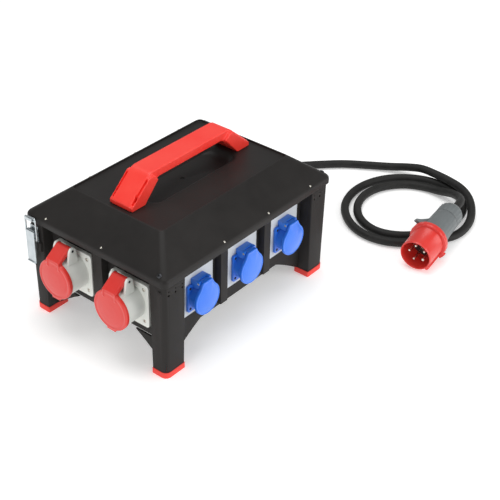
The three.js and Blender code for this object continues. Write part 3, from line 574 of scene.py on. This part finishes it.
def sweep(drawing, points, radius, sides=16):
    """Adds a tube through the points. The radius is one number or one for each point."""
    radii = radius if isinstance(radius, list) else [radius] * len(points)
    points = [Vector(q) for q in points]
    ahead = (points[1] - points[0]).normalized()
    across = ahead.orthogonal().normalized()
    rings = []
    for i, (place, r) in enumerate(zip(points, radii)):
        before, after = points[max(i - 1, 0)], points[min(i + 1, len(points) - 1)]
        along = (after - before).normalized()
        across = (across - across.dot(along) * along).normalized()
        other = along.cross(across)
        rings.append(
            [
                drawing.verts.new(
                    place
                    + r * math.cos(2 * math.pi * k / sides) * across
                    + r * math.sin(2 * math.pi * k / sides) * other
                )
                for k in range(sides)
            ]
        )
    skin(drawing, rings)


# %% [markdown]
# The strain relief is a tapered rubber sleeve on the gland, 38 mm long, with shallow rings that
# let it bend with the cable. It follows the cable's own first points, so the two stay together.

# %% Gland and strain relief
refined("cable_gland", "housing", "base", 0.6)
SLEEVE_LENGTH = 0.038
travelled = 0.0
sleeve_points, sleeve_radii = [], []
for a, b in zip(route, route[1:]):
    for k in range(3):
        share = travelled / SLEEVE_LENGTH
        if share > 1:
            break
        ring = 0.0005 * math.cos(2 * math.pi * travelled / 0.0045)
        sleeve_points.append(a)
        sleeve_radii.append(0.0123 - 0.0032 * share + ring)
        travelled += (b - a).length / 3
        a = a + (b - a) / 3
drawing = bmesh.new()
sweep(drawing, sleeve_points, sleeve_radii, 32)
sleeve = finished(
    "cable_strain_relief",
    mesh_of("cable_strain_relief", drawing, Matrix.Identity(4)),
    "rubber", "base",
)
print("strain relief:", len(sleeve_points), "rings")

# %% [markdown]
# ## The plug
# A five-pole plug for 16 A: a red collar round five pins, a flange ring, and a grey rear body
# with a hook that the socket's lid latches on. A ribbed gland nut grips the cable. It is turned
# on its own axis, and one matrix lays it on the floor with its hook to the upper side.

# %% The plug's place
PLUG_ROLL = math.radians(50)
across = Vector((0, 0, 1)).cross(plug_axis).normalized()
up = plug_axis.cross(across)
hook_way = up * math.cos(PLUG_ROLL) + across * math.sin(PLUG_ROLL)
turned = Matrix((hook_way.cross(plug_axis), hook_way, plug_axis)).transposed().to_4x4()
TO_PLUG = Matrix.Translation(PLUG_FACE) @ turned @ Matrix.Scale(MM, 4)
PLUG_LENGTH = (PLUG_TAIL - PLUG_FACE).length / MM
print("plug:", round(PLUG_LENGTH, 1), "mm long")


# %% Helpers for blocks and prisms
def add_block(drawing, x, y, z):
    """A box between two numbers along each axis."""
    corners = [drawing.verts.new((a, b, c)) for a in x for b in y for c in z]
    for face in ((0, 1, 3, 2), (4, 6, 7, 5), (0, 4, 5, 1), (2, 3, 7, 6), (0, 2, 6, 4), (1, 5, 7, 3)):
        drawing.faces.new([corners[i] for i in face])


def add_prism(drawing, axis, outline, low, high):
    """An outline on the other two axes, in X, Y, Z order, drawn out along one axis."""
    def place(a, b, along):
        return {"x": (along, a, b), "y": (a, along, b), "z": (a, b, along)}[axis]

    near = [drawing.verts.new(place(a, b, low)) for a, b in outline]
    far = [drawing.verts.new(place(a, b, high)) for a, b in outline]
    for i in range(len(outline)):
        j = (i + 1) % len(outline)
        drawing.faces.new((near[i], near[j], far[j], far[i]))
    drawing.faces.new(near[::-1])
    drawing.faces.new(far)


def moulded(name, drawing, voxel_mm, rounds, matrix=TO_FRAME, cutters=None):
    """One closed skin over overlapping solids, with its edges softened as a mould leaves them."""
    bmesh.ops.recalc_face_normals(drawing, faces=drawing.faces)
    mesh = bpy.data.meshes.new(name)
    drawing.to_mesh(mesh)
    drawing.free()
    helper = None
    skinned = ("REMESH", {"mode": "VOXEL", "voxel_size": voxel_mm, "use_smooth_shade": True})
    steps = [skinned]
    if cutters is not None:
        bmesh.ops.recalc_face_normals(cutters, faces=cutters.faces)
        tool = bpy.data.meshes.new(name + "_tool")
        cutters.to_mesh(tool)
        cutters.free()
        tool = evaluated(tool, ("REMESH", {"mode": "VOXEL", "voxel_size": voxel_mm}))
        helper = link(bpy.data.objects.new(name + "_tool", tool))
        steps.append(("BOOLEAN", {"operation": "DIFFERENCE", "solver": "FAST", "object": helper}))
        steps.append(skinned)
    steps.append(("SMOOTH", {"factor": 0.5, "iterations": rounds}))
    made = evaluated(mesh, *steps)
    if helper:
        bpy.data.objects.remove(helper)
    made.transform(matrix)
    made.name = name
    return made


# %% Plug collar and pins
collar = lathe(
    [(26.9, 41), (27.0, 1.2), (27.4, 0.4), (28.2, 0.0), (29.0, 0.3), (29.5, 1.2), (29.6, 4),
     (29.9, 46.8), (30.6, 47.9), (34.2, 48.4), (35.4, 48.9), (35.9, 50.2), (35.9, 57.8),
     (35.2, 59.2), (34, 59.8), (20, 59.9)],
    96, 24, 0.35, (49, 59),
)
add_block(collar, (-4, 4), (-33.5, -28), (0.6, 47))
add_block(collar, (-6, 6), (-39.4, -33), (50, 58))
collar_mesh = evaluated(mesh_of("plug_collar_piece", collar, TO_PLUG), bevelled(0.5, 2, 50))
plug_collar = finished(
    "plug_collar_piece", collar_mesh, "lid_red", "base", ["plug_collar"]
)
carrier = lathe([(26.6, 40.8), (26.6, 58), (10, 58.5)], 64)
carrier_mesh = mesh_of("plug_core", carrier, TO_PLUG)
plug_core = finished("plug_core", carrier_mesh, "core", "base", ["plug_pin_carrier"])

POLES = 5


def contact_ring(radius, phase, earth):
    """Places on the contact circle. The first, at the bottom, is the thicker earth."""
    turns = [-math.pi / 2 + 2 * math.pi * i / POLES for i in range(POLES)]
    return [
        (radius * math.cos(t), radius * math.sin(t), phase if i else earth)
        for i, t in enumerate(turns)
    ]


pins = bmesh.new()
for x, y, r in contact_ring(15.5, 2.5, 3.1):
    for low, high, size in ((40, 44, r + 1.3), (8, 44, r)):
        profile = [(size - 0.8, low), (size, low + 1.2), (size, high)]
        pin = lathe(profile, 24)
        pin.transform(Matrix.Translation((x, y, 0)))
        shape = bpy.data.meshes.new("pin")
        pin.to_mesh(shape)
        pin.free()
        pins.from_mesh(shape)
        bpy.data.meshes.remove(shape)
plug_pins = finished("plug_pins", mesh_of("plug_pins", pins, TO_PLUG), "nickel", "base")

# %% Plug body and gland nut
body_end, nut_start = 121.6, 122.6
shell = lathe(
    [(20, 60.2), (29.4, 60.3), (30, 61), (30, 62.5), (29.5, 65), (28.4, 68), (26.6, 78), (25.4, 92),
     (25, 96), (24.5, 110), (24.2, 120.4), (23.6, body_end), (15, body_end)],
    96, 20, 0.28, (78, 118),
)
add_prism(shell, "x", [(24, 64), (41.5, 60.8), (43, 61.6), (43, 63.6), (36, 72), (25, 90)], -3.5, 3.5)
add_block(shell, (-5, 5), (-31.5, -24), (61, 70))
shell_mesh = evaluated(mesh_of("plug_body", shell, TO_PLUG), bevelled(0.5, 2, 50))
plug_body = finished("plug_body", shell_mesh, "plug_grey", "base", ["plug_shell"])
L = PLUG_LENGTH
nut = lathe(
    [(15, nut_start), (23.2, nut_start), (23.7, nut_start + 1), (23.7, L - 10.5), (22.6, L - 8.5),
     (19.6, L - 3.4), (15.5, L - 0.8), (12.5, L), (8.6, L)],
    120, 20, 0.5, (nut_start + 0.5, L - 9),
)
nut_mesh = mesh_of("plug_nut", nut, TO_PLUG)
plug_nut = finished("plug_nut", nut_mesh, "plug_grey", "base", ["plug_gland_nut"])

# %% [markdown]
# ## Housing
# The tub, its legs and its ribs are one large moulding, and its shape is right in the packed
# model. What it lacks is the radius on every edge, so a bevelled copy stands in for it.

# %% Tub, feet and floor
refined("base_shell", "housing", "base", 1.2, 3)
CORNERS = ["front_left", "front_right", "rear_left", "rear_right"]
for corner in CORNERS:
    refined("foot_cap_" + corner, "foot", "base", 1.5, 3)
refined("floor_plate", "inside", "base", 0.5)
refined("deck_cover", "inside", "base", 0.5)

# %% [markdown]
# ## Hood
# The hood is a vacuum-smooth shell: a short skirt, four slopes, a thin raised rim round its flat
# top, and a finger well under the handle. All of its levels are rounded rectangles, so it is
# skinned over a stack of rings from the underside, round the skirt's edge, and up to the well.
# Where two slopes meet, the corner in the stack is replaced by a short curve.

# %% Stacks of rounded rectangles
def rounded_ring(half_x, half_y, radius, z, steps=8):
    centres = [(1, 1), (-1, 1), (-1, -1), (1, -1)]
    ring = []
    for corner, (sx, sy) in enumerate(centres):
        for i in range(steps + 1):
            angle = (corner + i / steps) * math.pi / 2
            ring.append(
                (
                    sx * (half_x - radius) + radius * math.cos(angle),
                    sy * (half_y - radius) + radius * math.sin(angle),
                    z,
                )
            )
    return ring


def softened(stack, steps=5):
    """Replaces each corner of a stack of (half x, half y, radius, z, softening) by a curve."""
    out = []
    for i, (*level, soft) in enumerate(stack):
        if not soft or i in (0, len(stack) - 1):
            out.append(level)
            continue
        ends = []
        for other in (stack[i - 1][:4], stack[i + 1][:4]):
            share = min(soft / math.dist(level, other), 0.45)
            ends.append([a + (b - a) * share for a, b in zip(level, other)])
        for k in range(steps + 1):
            t = k / steps
            out.append(
                [
                    (1 - t) ** 2 * a + 2 * t * (1 - t) * b + t**2 * c
                    for a, b, c in zip(ends[0], level, ends[1])
                ]
            )
    return out


# %% The hood
CREASE_Z, RIM_Z, TRAY_Z, SKIRT_Z, WELL_Z = 189.4, 232.4, 229.0, 178.0, 218.0
EAVE_X, EAVE_Y, RIM_X, RIM_Y = 210.0, 153.0, 155.5, 99.0
HOOD_STACK = [
    (95, 32, 17, 215.5, 0),
    (106.5, 37.5, 24.5, 226.3, 3),
    (158.9, 102.3, 6, 226.3, 3),
    (207.3, 150.3, 8.3, 188.1, 2),
    (207.3, 150.3, 8.3, SKIRT_Z + 0.01, 0.4),
    (EAVE_X, EAVE_Y, 11, SKIRT_Z, 0.8),
    (EAVE_X, EAVE_Y, 11, CREASE_Z, 4.5),
    (RIM_X, RIM_Y, 8, RIM_Z, 1.8),
    (RIM_X - 2.2, RIM_Y - 2.2, 5.8, RIM_Z, 0.9),
    (RIM_X - 2.4, RIM_Y - 2.4, 5.6, TRAY_Z, 1.6),
    (104, 35, 22, TRAY_Z, 5),
    (92, 29, 15, WELL_Z, 9),
    (3.7, 3.6, 3.55, WELL_Z - 0.01, 0.3),
    (3.4, 3.4, 3.35, WELL_Z - 1.2, 0),
]
drawing = bmesh.new()
rings = [
    [drawing.verts.new(v) for v in rounded_ring(x, y, r, z)]
    for x, y, r, z in softened(HOOD_STACK)
]
skin(drawing, rings)
HINGE_Y, HINGE_Z = -148.4, 180.6
for middle in (-110, 110):
    for side in (-1, 1):
        near, far = sorted((middle + side * 13, middle + side * 25))
        sweep(drawing, [(near, HINGE_Y, HINGE_Z), (far, HINGE_Y, HINGE_Z)], 3.2, 20)
hood_mesh = mesh_of("hood_shell", drawing)
hood = finished("hood_shell", hood_mesh, "hood", "hood_body", ["hood"], 30)
print("hood:", len(hood.data.polygons), "faces")
for side in ("left", "right"):
    refined("hood_hinge_pin_" + side, "zinc", "base", 0.3)

# %% [markdown]
# ## Handle
# The handle is one thick moulding. A flat grip slopes down at both ends onto broad feet. Each
# arm has a raised spine down its middle with a lower wing on either side, and the wings hold
# pockets for the fixing screws. The overlapping blocks are merged into one skin and softened.

# %% The handle
FOOT_Z = TRAY_Z + 0.3
OVER = [(143.2, FOOT_Z), (143.2, 237.4), (101, 274), (97, 276.6), (92, 278.2)]
UNDER = [(112.5, FOOT_Z), (112.5, FOOT_Z + 0.1), (80.5, 260.4), (77.5, 262.2), (74, 263)]


def arch(lower_by=0.0):
    """The handle's side view, with its upper line brought down by so much."""
    top = [(x, max(z - lower_by, FOOT_Z)) for x, z in OVER]
    right = top + [(-x, z) for x, z in reversed(top)]
    return right + [(-x, z) for x, z in UNDER] + list(reversed(UNDER))


drawing = bmesh.new()
full = arch()
add_prism(drawing, "y", full, -19.5, 19.5)
for side in (-1, 1):
    low, high = sorted((side * 18, side * 24.4))
    for end in (-1, 1):
        wing = [(142.5, FOOT_Z), (142.5, 236.0), (103, 269.5), (92, 272.0), (81, 262.5), (112.5, FOOT_Z)]
        add_prism(drawing, "y", [(end * x, z) for x, z in wing], low, high)
        lip_low, lip_high = sorted((side * 22.4, side * 24.4))
        lip = [(141, 236.5), (102.8, 271.6), (96, 273), (94, 269), (103, 266), (141, 232)]
        add_prism(drawing, "y", [(end * x, z) for x, z in lip], lip_low, lip_high)
cutters = bmesh.new()
for side in (-1, 1):
    for end in (-1, 1):
        ys = sorted((side * 19.2, side * 22.6))
        slot_outline = [(136, 236), (106.5, 262), (101, 262), (104, 275), (110, 275), (145, 244)]
        add_prism(cutters, "y", [(end * x, z) for x, z in slot_outline], *ys)
        sweep(cutters, [(end * 127, side * 20.4, 231.5), (end * 127, side * 20.4, 262)], 3.0, 20)
handle_mesh = moulded("handle_moulding", drawing, 0.9, 6, cutters=cutters)
handle = finished("handle_moulding", handle_mesh, "handle", "hood_body", ["handle"], 80)
print("handle:", len(handle.data.polygons), "faces")

# %% [markdown]
# ## Domestic sockets
# Each domestic socket is a square flange with a short barrel, on a light backing plate. A
# sprung lid covers it: an egg-shaped, slightly domed disc with a raised rim, whose top narrows
# to the hinge. The three are the same, so one set of drawings is placed three times.

# %% Domestic bodies and their plates
SOCKET_X = {"left": -110, "middle": 0, "right": 110}
SOCKET_Z = 108.0
PIN_Y, PIN_Z = -144.0, 139.0
for place in SOCKET_X:
    refined("socket_plate_" + place, "plate", "base", 0.5)
    refined("domestic_socket_" + place, "blue", "base", 0.9, 3)
    refined("domestic_insert_" + place, "core", "base", 0.4)


# %% Domestic lids
def add_dome(drawing, rings):
    """A stack of scaled outlines: rings holds (outline, depth) from the back to the front."""
    made = [[drawing.verts.new((x, y, z)) for x, z in outline] for outline, y in rings]
    skin(drawing, made)


def egg(scale):
    """A round disc whose top is drawn up towards the hinge, scaled about the disc's middle."""
    radius, top, neck = 28.2, PIN_Z + 3.4, 11.5
    outline = []
    start = math.radians(52)
    count = 48
    for i in range(count + 1):
        angle = math.pi / 2 + start + (2 * math.pi - 2 * start) * i / count
        outline.append((radius * math.cos(angle), radius * math.sin(angle) - 0.5))
    shoulder = outline[-1]
    for t in (0.25, 0.5, 0.75):
        x = (1 - t) ** 2 * shoulder[0] + 2 * t * (1 - t) * 14.5 + t * t * neck
        z = (1 - t) ** 2 * shoulder[1] + 2 * t * (1 - t) * 24.5 + t * t * (top - SOCKET_Z - 1.5)
        outline.append((x, z))
    outline += [(neck, top - SOCKET_Z - 1.5), (neck - 1.5, top - SOCKET_Z)]
    outline += [(-x, z) for x, z in reversed(outline[count + 1 :])]
    return [(x * scale, SOCKET_Z + z * scale) for x, z in outline]


BACK_Y, FACE_Y = -147.0, -152.4
LID_PROFILE = [
    (0.90, BACK_Y), (0.985, BACK_Y), (1.0, BACK_Y - 0.8), (1.0, FACE_Y + 1.4), (0.985, FACE_Y + 0.4),
    (0.955, FACE_Y), (0.93, FACE_Y + 0.1), (0.915, FACE_Y + 0.7), (0.885, FACE_Y + 0.7),
    (0.84, FACE_Y + 0.1), (0.7, FACE_Y - 0.9), (0.5, FACE_Y - 1.8), (0.3, FACE_Y - 2.3),
    (0.12, FACE_Y - 2.5),
]
for place, x in SOCKET_X.items():
    drawing = bmesh.new()
    add_dome(drawing, [(egg(s), y) for s, y in LID_PROFILE])
    add_block(drawing, (-7.4, 7.4), (FACE_Y + 0.6, PIN_Y + 1), (PIN_Z - 3.2, PIN_Z + 3.3))
    sweep(drawing, [(-7.4, PIN_Y, PIN_Z), (7.4, PIN_Y, PIN_Z)], 3.6, 32)
    cutters = bmesh.new()
    for half in (-1, 1):
        add_block(cutters, sorted((half * 7.8, half * 30)), (BACK_Y - 0.6, -130), (PIN_Z - 9, PIN_Z + 20))
    sweep(cutters, [(-9, PIN_Y, PIN_Z), (9, PIN_Y, PIN_Z)], 1.85, 20)
    name = "domestic_cover_" + place
    lid_mesh = moulded(name, drawing, 0.55, 3, TO_FRAME @ Matrix.Translation((x, 0, 0)), cutters)
    lid = finished(name, lid_mesh, "blue", f"domestic_lid_{place}_body",
                   ["domestic_lid_" + place], 80)
    pin = bmesh.new()
    sweep(pin, [(x - 14.6, PIN_Y, PIN_Z), (x - 14.3, PIN_Y, PIN_Z), (x + 14.3, PIN_Y, PIN_Z),
                (x + 14.6, PIN_Y, PIN_Z)], [1.5, 1.8, 1.8, 1.5], 20)
    finished("domestic_hinge_pin_" + place, mesh_of("pin", pin), "nickel", "base")
print("domestic lid:", len(lid.data.polygons), "faces")

# %% [markdown]
# ## Industrial sockets
# The five-pole sockets have a pale grey body with a square flange and a red lid, 71 mm across
# and 8 mm thick. The lid's arm reaches up to the hinge, with a strengthening rib along each
# edge. Lid, arm and ribs are overlapping solids merged into one softened skin.

# %% Industrial bodies and lids
INDUSTRIAL_Y = {"front": -62, "rear": 62}
INDUSTRIAL_Z = 111.0
ARM_X, ARM_Z = -210.4, 161.0
for place, y in INDUSTRIAL_Y.items():
    refined("industrial_socket_" + place, "pale", "base", 0.9, 3)
    refined("industrial_insert_" + place, "lid_red", "base", 0.5)
    drawing = bmesh.new()
    disc = lathe(
        [(34.6, 0), (35.3, 0.5), (35.5, 1.2), (35.5, 5.8), (34.9, 7.0), (33.6, 7.7), (31.5, 7.7),
         (30.6, 7.2), (29.2, 7.2), (25, 7.9), (14, 8.8), (2, 9.1)], 72)
    outwards = Matrix.Rotation(-math.pi / 2, 4, "Y")
    disc.transform(Matrix.Translation((-229.3, 0, INDUSTRIAL_Z + 0.5)) @ outwards)
    shape = bpy.data.meshes.new("disc")
    disc.to_mesh(shape)
    disc.free()
    drawing.from_mesh(shape)
    bpy.data.meshes.remove(shape)
    arm = [(-209, 166), (-214, 165.5), (-236.4, 148), (-237, 128), (-230, 128), (-229.3, 146.5),
           (-214, 156.2), (-209, 156)]
    add_prism(drawing, "y", arm, -14.2, 14.2)
    rib = [(-210, 165.8), (-214.3, 165.6), (-238.0, 148.4), (-238.4, 136), (-236, 130), (-234, 146),
           (-214, 160), (-210, 161)]
    for side in (-1, 1):
        low, high = sorted((side * 11.2, side * 14.2))
        add_prism(drawing, "y", rib, low, high)
    sweep(drawing, [(ARM_X, -14.2, ARM_Z), (ARM_X, 14.2, ARM_Z)], 5, 32)
    add_block(drawing, (-236.4, -230), (-9, 9), (INDUSTRIAL_Z - 37.0, INDUSTRIAL_Z - 30))
    name = "industrial_cover_" + place
    lid_mesh = moulded(name, drawing, 0.7, 4, TO_FRAME @ Matrix.Translation((0, y, 0)))
    lid = finished(name, lid_mesh, "lid_red", f"industrial_lid_{place}_body",
                   ["industrial_lid_" + place], 80)
    pin = bmesh.new()
    sweep(pin, [(ARM_X, y - 19.1, ARM_Z), (ARM_X, y - 18.8, ARM_Z), (ARM_X, y + 18.8, ARM_Z),
                (ARM_X, y + 19.1, ARM_Z)], [2.0, 2.3, 2.3, 2.0], 24)
    finished("industrial_hinge_pin_" + place, mesh_of("pin", pin), "dark_screw", "base")
print("industrial lid:", len(lid.data.polygons), "faces")

# %% [markdown]
# ## Latches
# A toggle latch holds each short side of the hood. Its base, lever and hook are stamped steel,
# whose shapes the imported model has. The loop is a bent wire 3 mm thick, so it is swept along its
# own centre line with round corners.

# %% Latches
LATCH_Y, BAIL_X, BAIL_Z, BAIL_TOP = 135.0, -214.0, 148.5, 187.5
for place, way in (("left", 1), ("right", -1)):
    refined(f"latch_base_{place}", "zinc", "base", 0.25)
    refined(f"latch_lever_{place}", "zinc", f"latch_lever_{place}_body", 0.35)
    refined(f"latch_catch_{place}", "zinc", "hood_body", 0.3)
    x = BAIL_X * way
    path = [(x, LATCH_Y - 7.6, BAIL_Z)]
    bends = [(-1, BAIL_Z, 1.0), (-1, BAIL_TOP, 3.2), (1, BAIL_TOP, 3.2), (1, BAIL_Z, 1.0)]
    for k, (side, z, r) in enumerate(bends):
        corner = Vector((x, LATCH_Y + side * 12, z))
        comes = Vector(path[-1])
        if k < 3:
            goes = Vector((x, LATCH_Y + bends[k + 1][0] * 12, bends[k + 1][1]))
        else:
            goes = Vector((x, LATCH_Y + 7.6, BAIL_Z))
        start = corner + (comes - corner).normalized() * r
        end = corner + (goes - corner).normalized() * r
        for j in range(7):
            t = j / 6
            path.append(tuple((1 - t) ** 2 * start + 2 * t * (1 - t) * corner + t**2 * end))
    path.append((x, LATCH_Y + 7.6, BAIL_Z))
    drawing = bmesh.new()
    sweep(drawing, path, 1.5, 16)
    finished(f"latch_wire_{place}", mesh_of("wire", drawing), "zinc", f"latch_bail_{place}_body",
             [f"latch_bail_{place}"], 50)

# %% [markdown]
# ## Breakers and wiring pieces
# Under the hood a residual current breaker, two three-pole breakers and three single-pole
# breakers stand on a steel rail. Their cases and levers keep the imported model's shapes.

# %% Breakers, rail and terminals
BREAKERS = {
    "residual_current_breaker": (-100, 72),
    "three_pole_breaker_1": (-28, 54),
    "three_pole_breaker_2": (26, 54),
    "single_pole_breaker_1": (80, 18),
    "single_pole_breaker_2": (98, 18),
    "single_pole_breaker_3": (116, 18),
}
for name in BREAKERS:
    refined(name, "breaker", "base", 0.6)
    refined(name + "_toggle", "toggle", name + "_toggle_body", 0.5)
refined("test_button", "toggle", "test_button_body", 0.4)
refined("din_rail", "zinc", "base", 0.25)
refined("terminal_block", "pale", "base", 0.4)
refined("earth_bar", "brass", "base", 0.4)

# %% [markdown]
# ## Screws and studs
# The box is held together by many small heads. They all follow one rule, a shallow dome with a
# cross cut into it, standing square to its face. Geometry Nodes make them: the tree takes a few
# loose points, each with the way that it faces, and stands one head on each, turned at random
# about its own axis as a screwdriver leaves it. The sizes are inputs, and the seed is fixed.

# %% The tree for screw heads
def screw_tree(material):
    tree = bpy.data.node_groups.new("heads_on_points", "GeometryNodeTree")
    tree.interface.new_socket("Geometry", in_out="INPUT", socket_type="NodeSocketGeometry")
    sizes = (("Head Radius", 0.003), ("Head Height", 0.001), ("Slot Width", 0.001), ("Slot Length", 0.004))
    for name, value in sizes:
        socket = tree.interface.new_socket(name, in_out="INPUT", socket_type="NodeSocketFloat")
        socket.default_value = value
    seed = tree.interface.new_socket("Seed", in_out="INPUT", socket_type="NodeSocketInt")
    seed.default_value = 7
    tree.interface.new_socket("Geometry", in_out="OUTPUT", socket_type="NodeSocketGeometry")
    given = node(tree, "NodeGroupInput").outputs
    ball = node(tree, "GeometryNodeMeshUVSphere", {"Segments": 20, "Rings": 10, "Radius": 1.0})
    size = node(
        tree, "ShaderNodeCombineXYZ",
        {0: given["Head Radius"], 1: given["Head Radius"], 2: given["Head Height"]},
    )
    dome = node(tree, "GeometryNodeTransform", {"Geometry": ball.outputs["Mesh"], "Scale": size.outputs[0]})
    deep = node(tree, "ShaderNodeMath", {0: given["Head Height"], 1: 1.2}, operation="MULTIPLY").outputs[0]
    lift = node(tree, "ShaderNodeCombineXYZ", {2: given["Head Height"]})
    blades = []
    for first, second in (("Slot Length", "Slot Width"), ("Slot Width", "Slot Length")):
        shape = node(tree, "ShaderNodeCombineXYZ", {0: given[first], 1: given[second], 2: deep})
        blade = node(tree, "GeometryNodeMeshCube", {"Size": shape.outputs[0]})
        blades.append(
            node(
                tree, "GeometryNodeTransform",
                {"Geometry": blade.outputs["Mesh"], "Translation": lift.outputs[0]},
            )
        )
    cut = node(tree, "GeometryNodeMeshBoolean", {"Mesh 1": dome.outputs[0]}, operation="DIFFERENCE")
    for blade in blades:
        tree.links.new(blade.outputs[0], cut.inputs["Mesh 2"])
    facing = node(tree, "GeometryNodeInputNamedAttribute", {"Name": "facing"}, data_type="FLOAT_VECTOR")
    upright = node(tree, "FunctionNodeAlignRotationToVector", {"Vector": facing.outputs[0]}, axis="Z")
    chance = node(
        tree, "FunctionNodeRandomValue", {2: 0.0, 3: math.pi, "Seed": given["Seed"]}, data_type="FLOAT"
    )
    spin = node(tree, "FunctionNodeAxisAngleToRotation", {"Angle": chance.outputs[1]})
    rotated = node(
        tree, "FunctionNodeRotateRotation",
        {"Rotation": upright.outputs[0], "Rotate By": spin.outputs[0]}, rotation_space="LOCAL",
    )
    placed = node(
        tree, "GeometryNodeInstanceOnPoints",
        {"Points": given["Geometry"], "Instance": cut.outputs[0], "Rotation": rotated.outputs[0]},
    )
    real = node(tree, "GeometryNodeRealizeInstances", {"Geometry": placed.outputs[0]})
    painted = node(tree, "GeometryNodeSetMaterial", {"Geometry": real.outputs[0], "Material": material})
    node(tree, "NodeGroupOutput", {"Geometry": painted.outputs[0]})
    return tree


def heads(name, places, material, body, radius, height, slot_width=0.0, slot_length=0.0):
    """Heads on places, each (x, y, z, facing) in the drawing's millimetres."""
    mesh = bpy.data.meshes.new(name)
    mesh.from_pydata([point(x, y, z) for x, y, z, way in places], [], [])
    facing = mesh.attributes.new("facing", "FLOAT_VECTOR", "POINT")
    for item, (x, y, z, way) in zip(facing.data, places):
        item.vector = way
    tree = screw_tree(MATERIALS[material])
    carrier = link(bpy.data.objects.new("carrier", mesh))
    modifier = carrier.modifiers.new("heads", "NODES")
    modifier.node_group = tree
    values = {
        "Head Radius": radius * MM, "Head Height": height * MM,
        "Slot Width": slot_width * MM, "Slot Length": slot_length * MM, "Seed": 7,
    }
    for socket in tree.interface.items_tree:
        if socket.in_out == "INPUT" and socket.name in values:
            modifier[socket.identifier] = values[socket.name]
    graph = bpy.context.evaluated_depsgraph_get()
    made = bpy.data.meshes.new_from_object(carrier.evaluated_get(graph))
    bpy.data.objects.remove(carrier)
    print(name + ":", len(places), "heads,", len(made.polygons), "faces")
    return finished(name, made, material, body, (), 40)


# %% Heads of the outer pieces
RUN_X = (EAVE_X - RIM_X) / (RIM_Z - CREASE_Z)
RUN_Y = (EAVE_Y - RIM_Y) / (RIM_Z - CREASE_Z)
FRONT_WAY = Vector((0, -1, RUN_Y)).normalized()
LEFT_WAY = Vector((-1, 0, RUN_X)).normalized()


def on_slope(axis, along, z, sign):
    """A place on a long or a short slope of the hood at a height, and the way it faces."""
    if axis == "front":
        return (along, sign * (EAVE_Y - (z - CREASE_Z) * RUN_Y), z, (0, -sign * FRONT_WAY.y, FRONT_WAY.z))
    return (sign * (EAVE_X - (z - CREASE_Z) * RUN_X), along, z, (-sign * LEFT_WAY.x, 0, LEFT_WAY.z))


pips = [on_slope("front", x, 192.6, sign) for sign in (-1, 1) for x in (-68, 42, 154)]
pips += [on_slope("left", y, 193.0, sign) for sign in (-1, 1) for y in (107, -17)]
heads("hood_rivets", pips, "nickel", "hood_body", 1.9, 0.9)
# The studs are dark domes. Their dark metal is painted shade for the recess round each stud, which is not
# drawn.
studs = [on_slope("left", -137, 194.6, sign) for sign in (-1, 1)]
heads("hood_studs", studs, "dark_screw", "hood_body", 4.0, 1.8, 1.2, 4.6)

flange_screws = []
for y in INDUSTRIAL_Y.values():
    flange_screws += [
        (-191.9, y + a * 30, INDUSTRIAL_Z + b * 30, (-1, 0, 0)) for a in (-1, 1) for b in (-1, 1)
    ]
heads("industrial_flange_screws", flange_screws, "nickel", "base", 3.0, 1.4, 0.9, 3.6)
small = []
for x in SOCKET_X.values():
    small += [(x + a * 19.5, -132.0, SOCKET_Z + b * 19.5, (0, -1, 0)) for a in (-1, 1) for b in (-1, 1)]
heads("domestic_flange_screws", small, "dark_screw", "base", 2.5, 1.0, 0.8, 3.0)
cover_screws = [(x, y, 185.3, (0, 0, 1)) for x in (-170, 170) for y in (-110, 0, 110)]
cover_screws += [(x, y, 185.3, (0, 0, 1)) for x in (-60, 60) for y in (-110, 110)]
heads("cover_screws", cover_screws, "zinc", "base", 3.6, 1.6, 1.0, 4.4)
terminals = []
for low, width in BREAKERS.values():
    for k in range(round(width / 18)):
        terminals += [(low + 9 + 18 * k, 40 + s * 34, 180.0, (0, 0, 1)) for s in (-1, 1)]
heads("breaker_terminals", terminals, "zinc", "base", 3.2, 1.0, 0.9, 4.0)
strip = [(-70 + 13 * k + 6.5, y, 86.0, (0, 0, 1)) for k in range(10) for y in (-57, -43)]
heads("terminal_screws", strip, "zinc", "base", 2.6, 1.0, 0.8, 3.2)
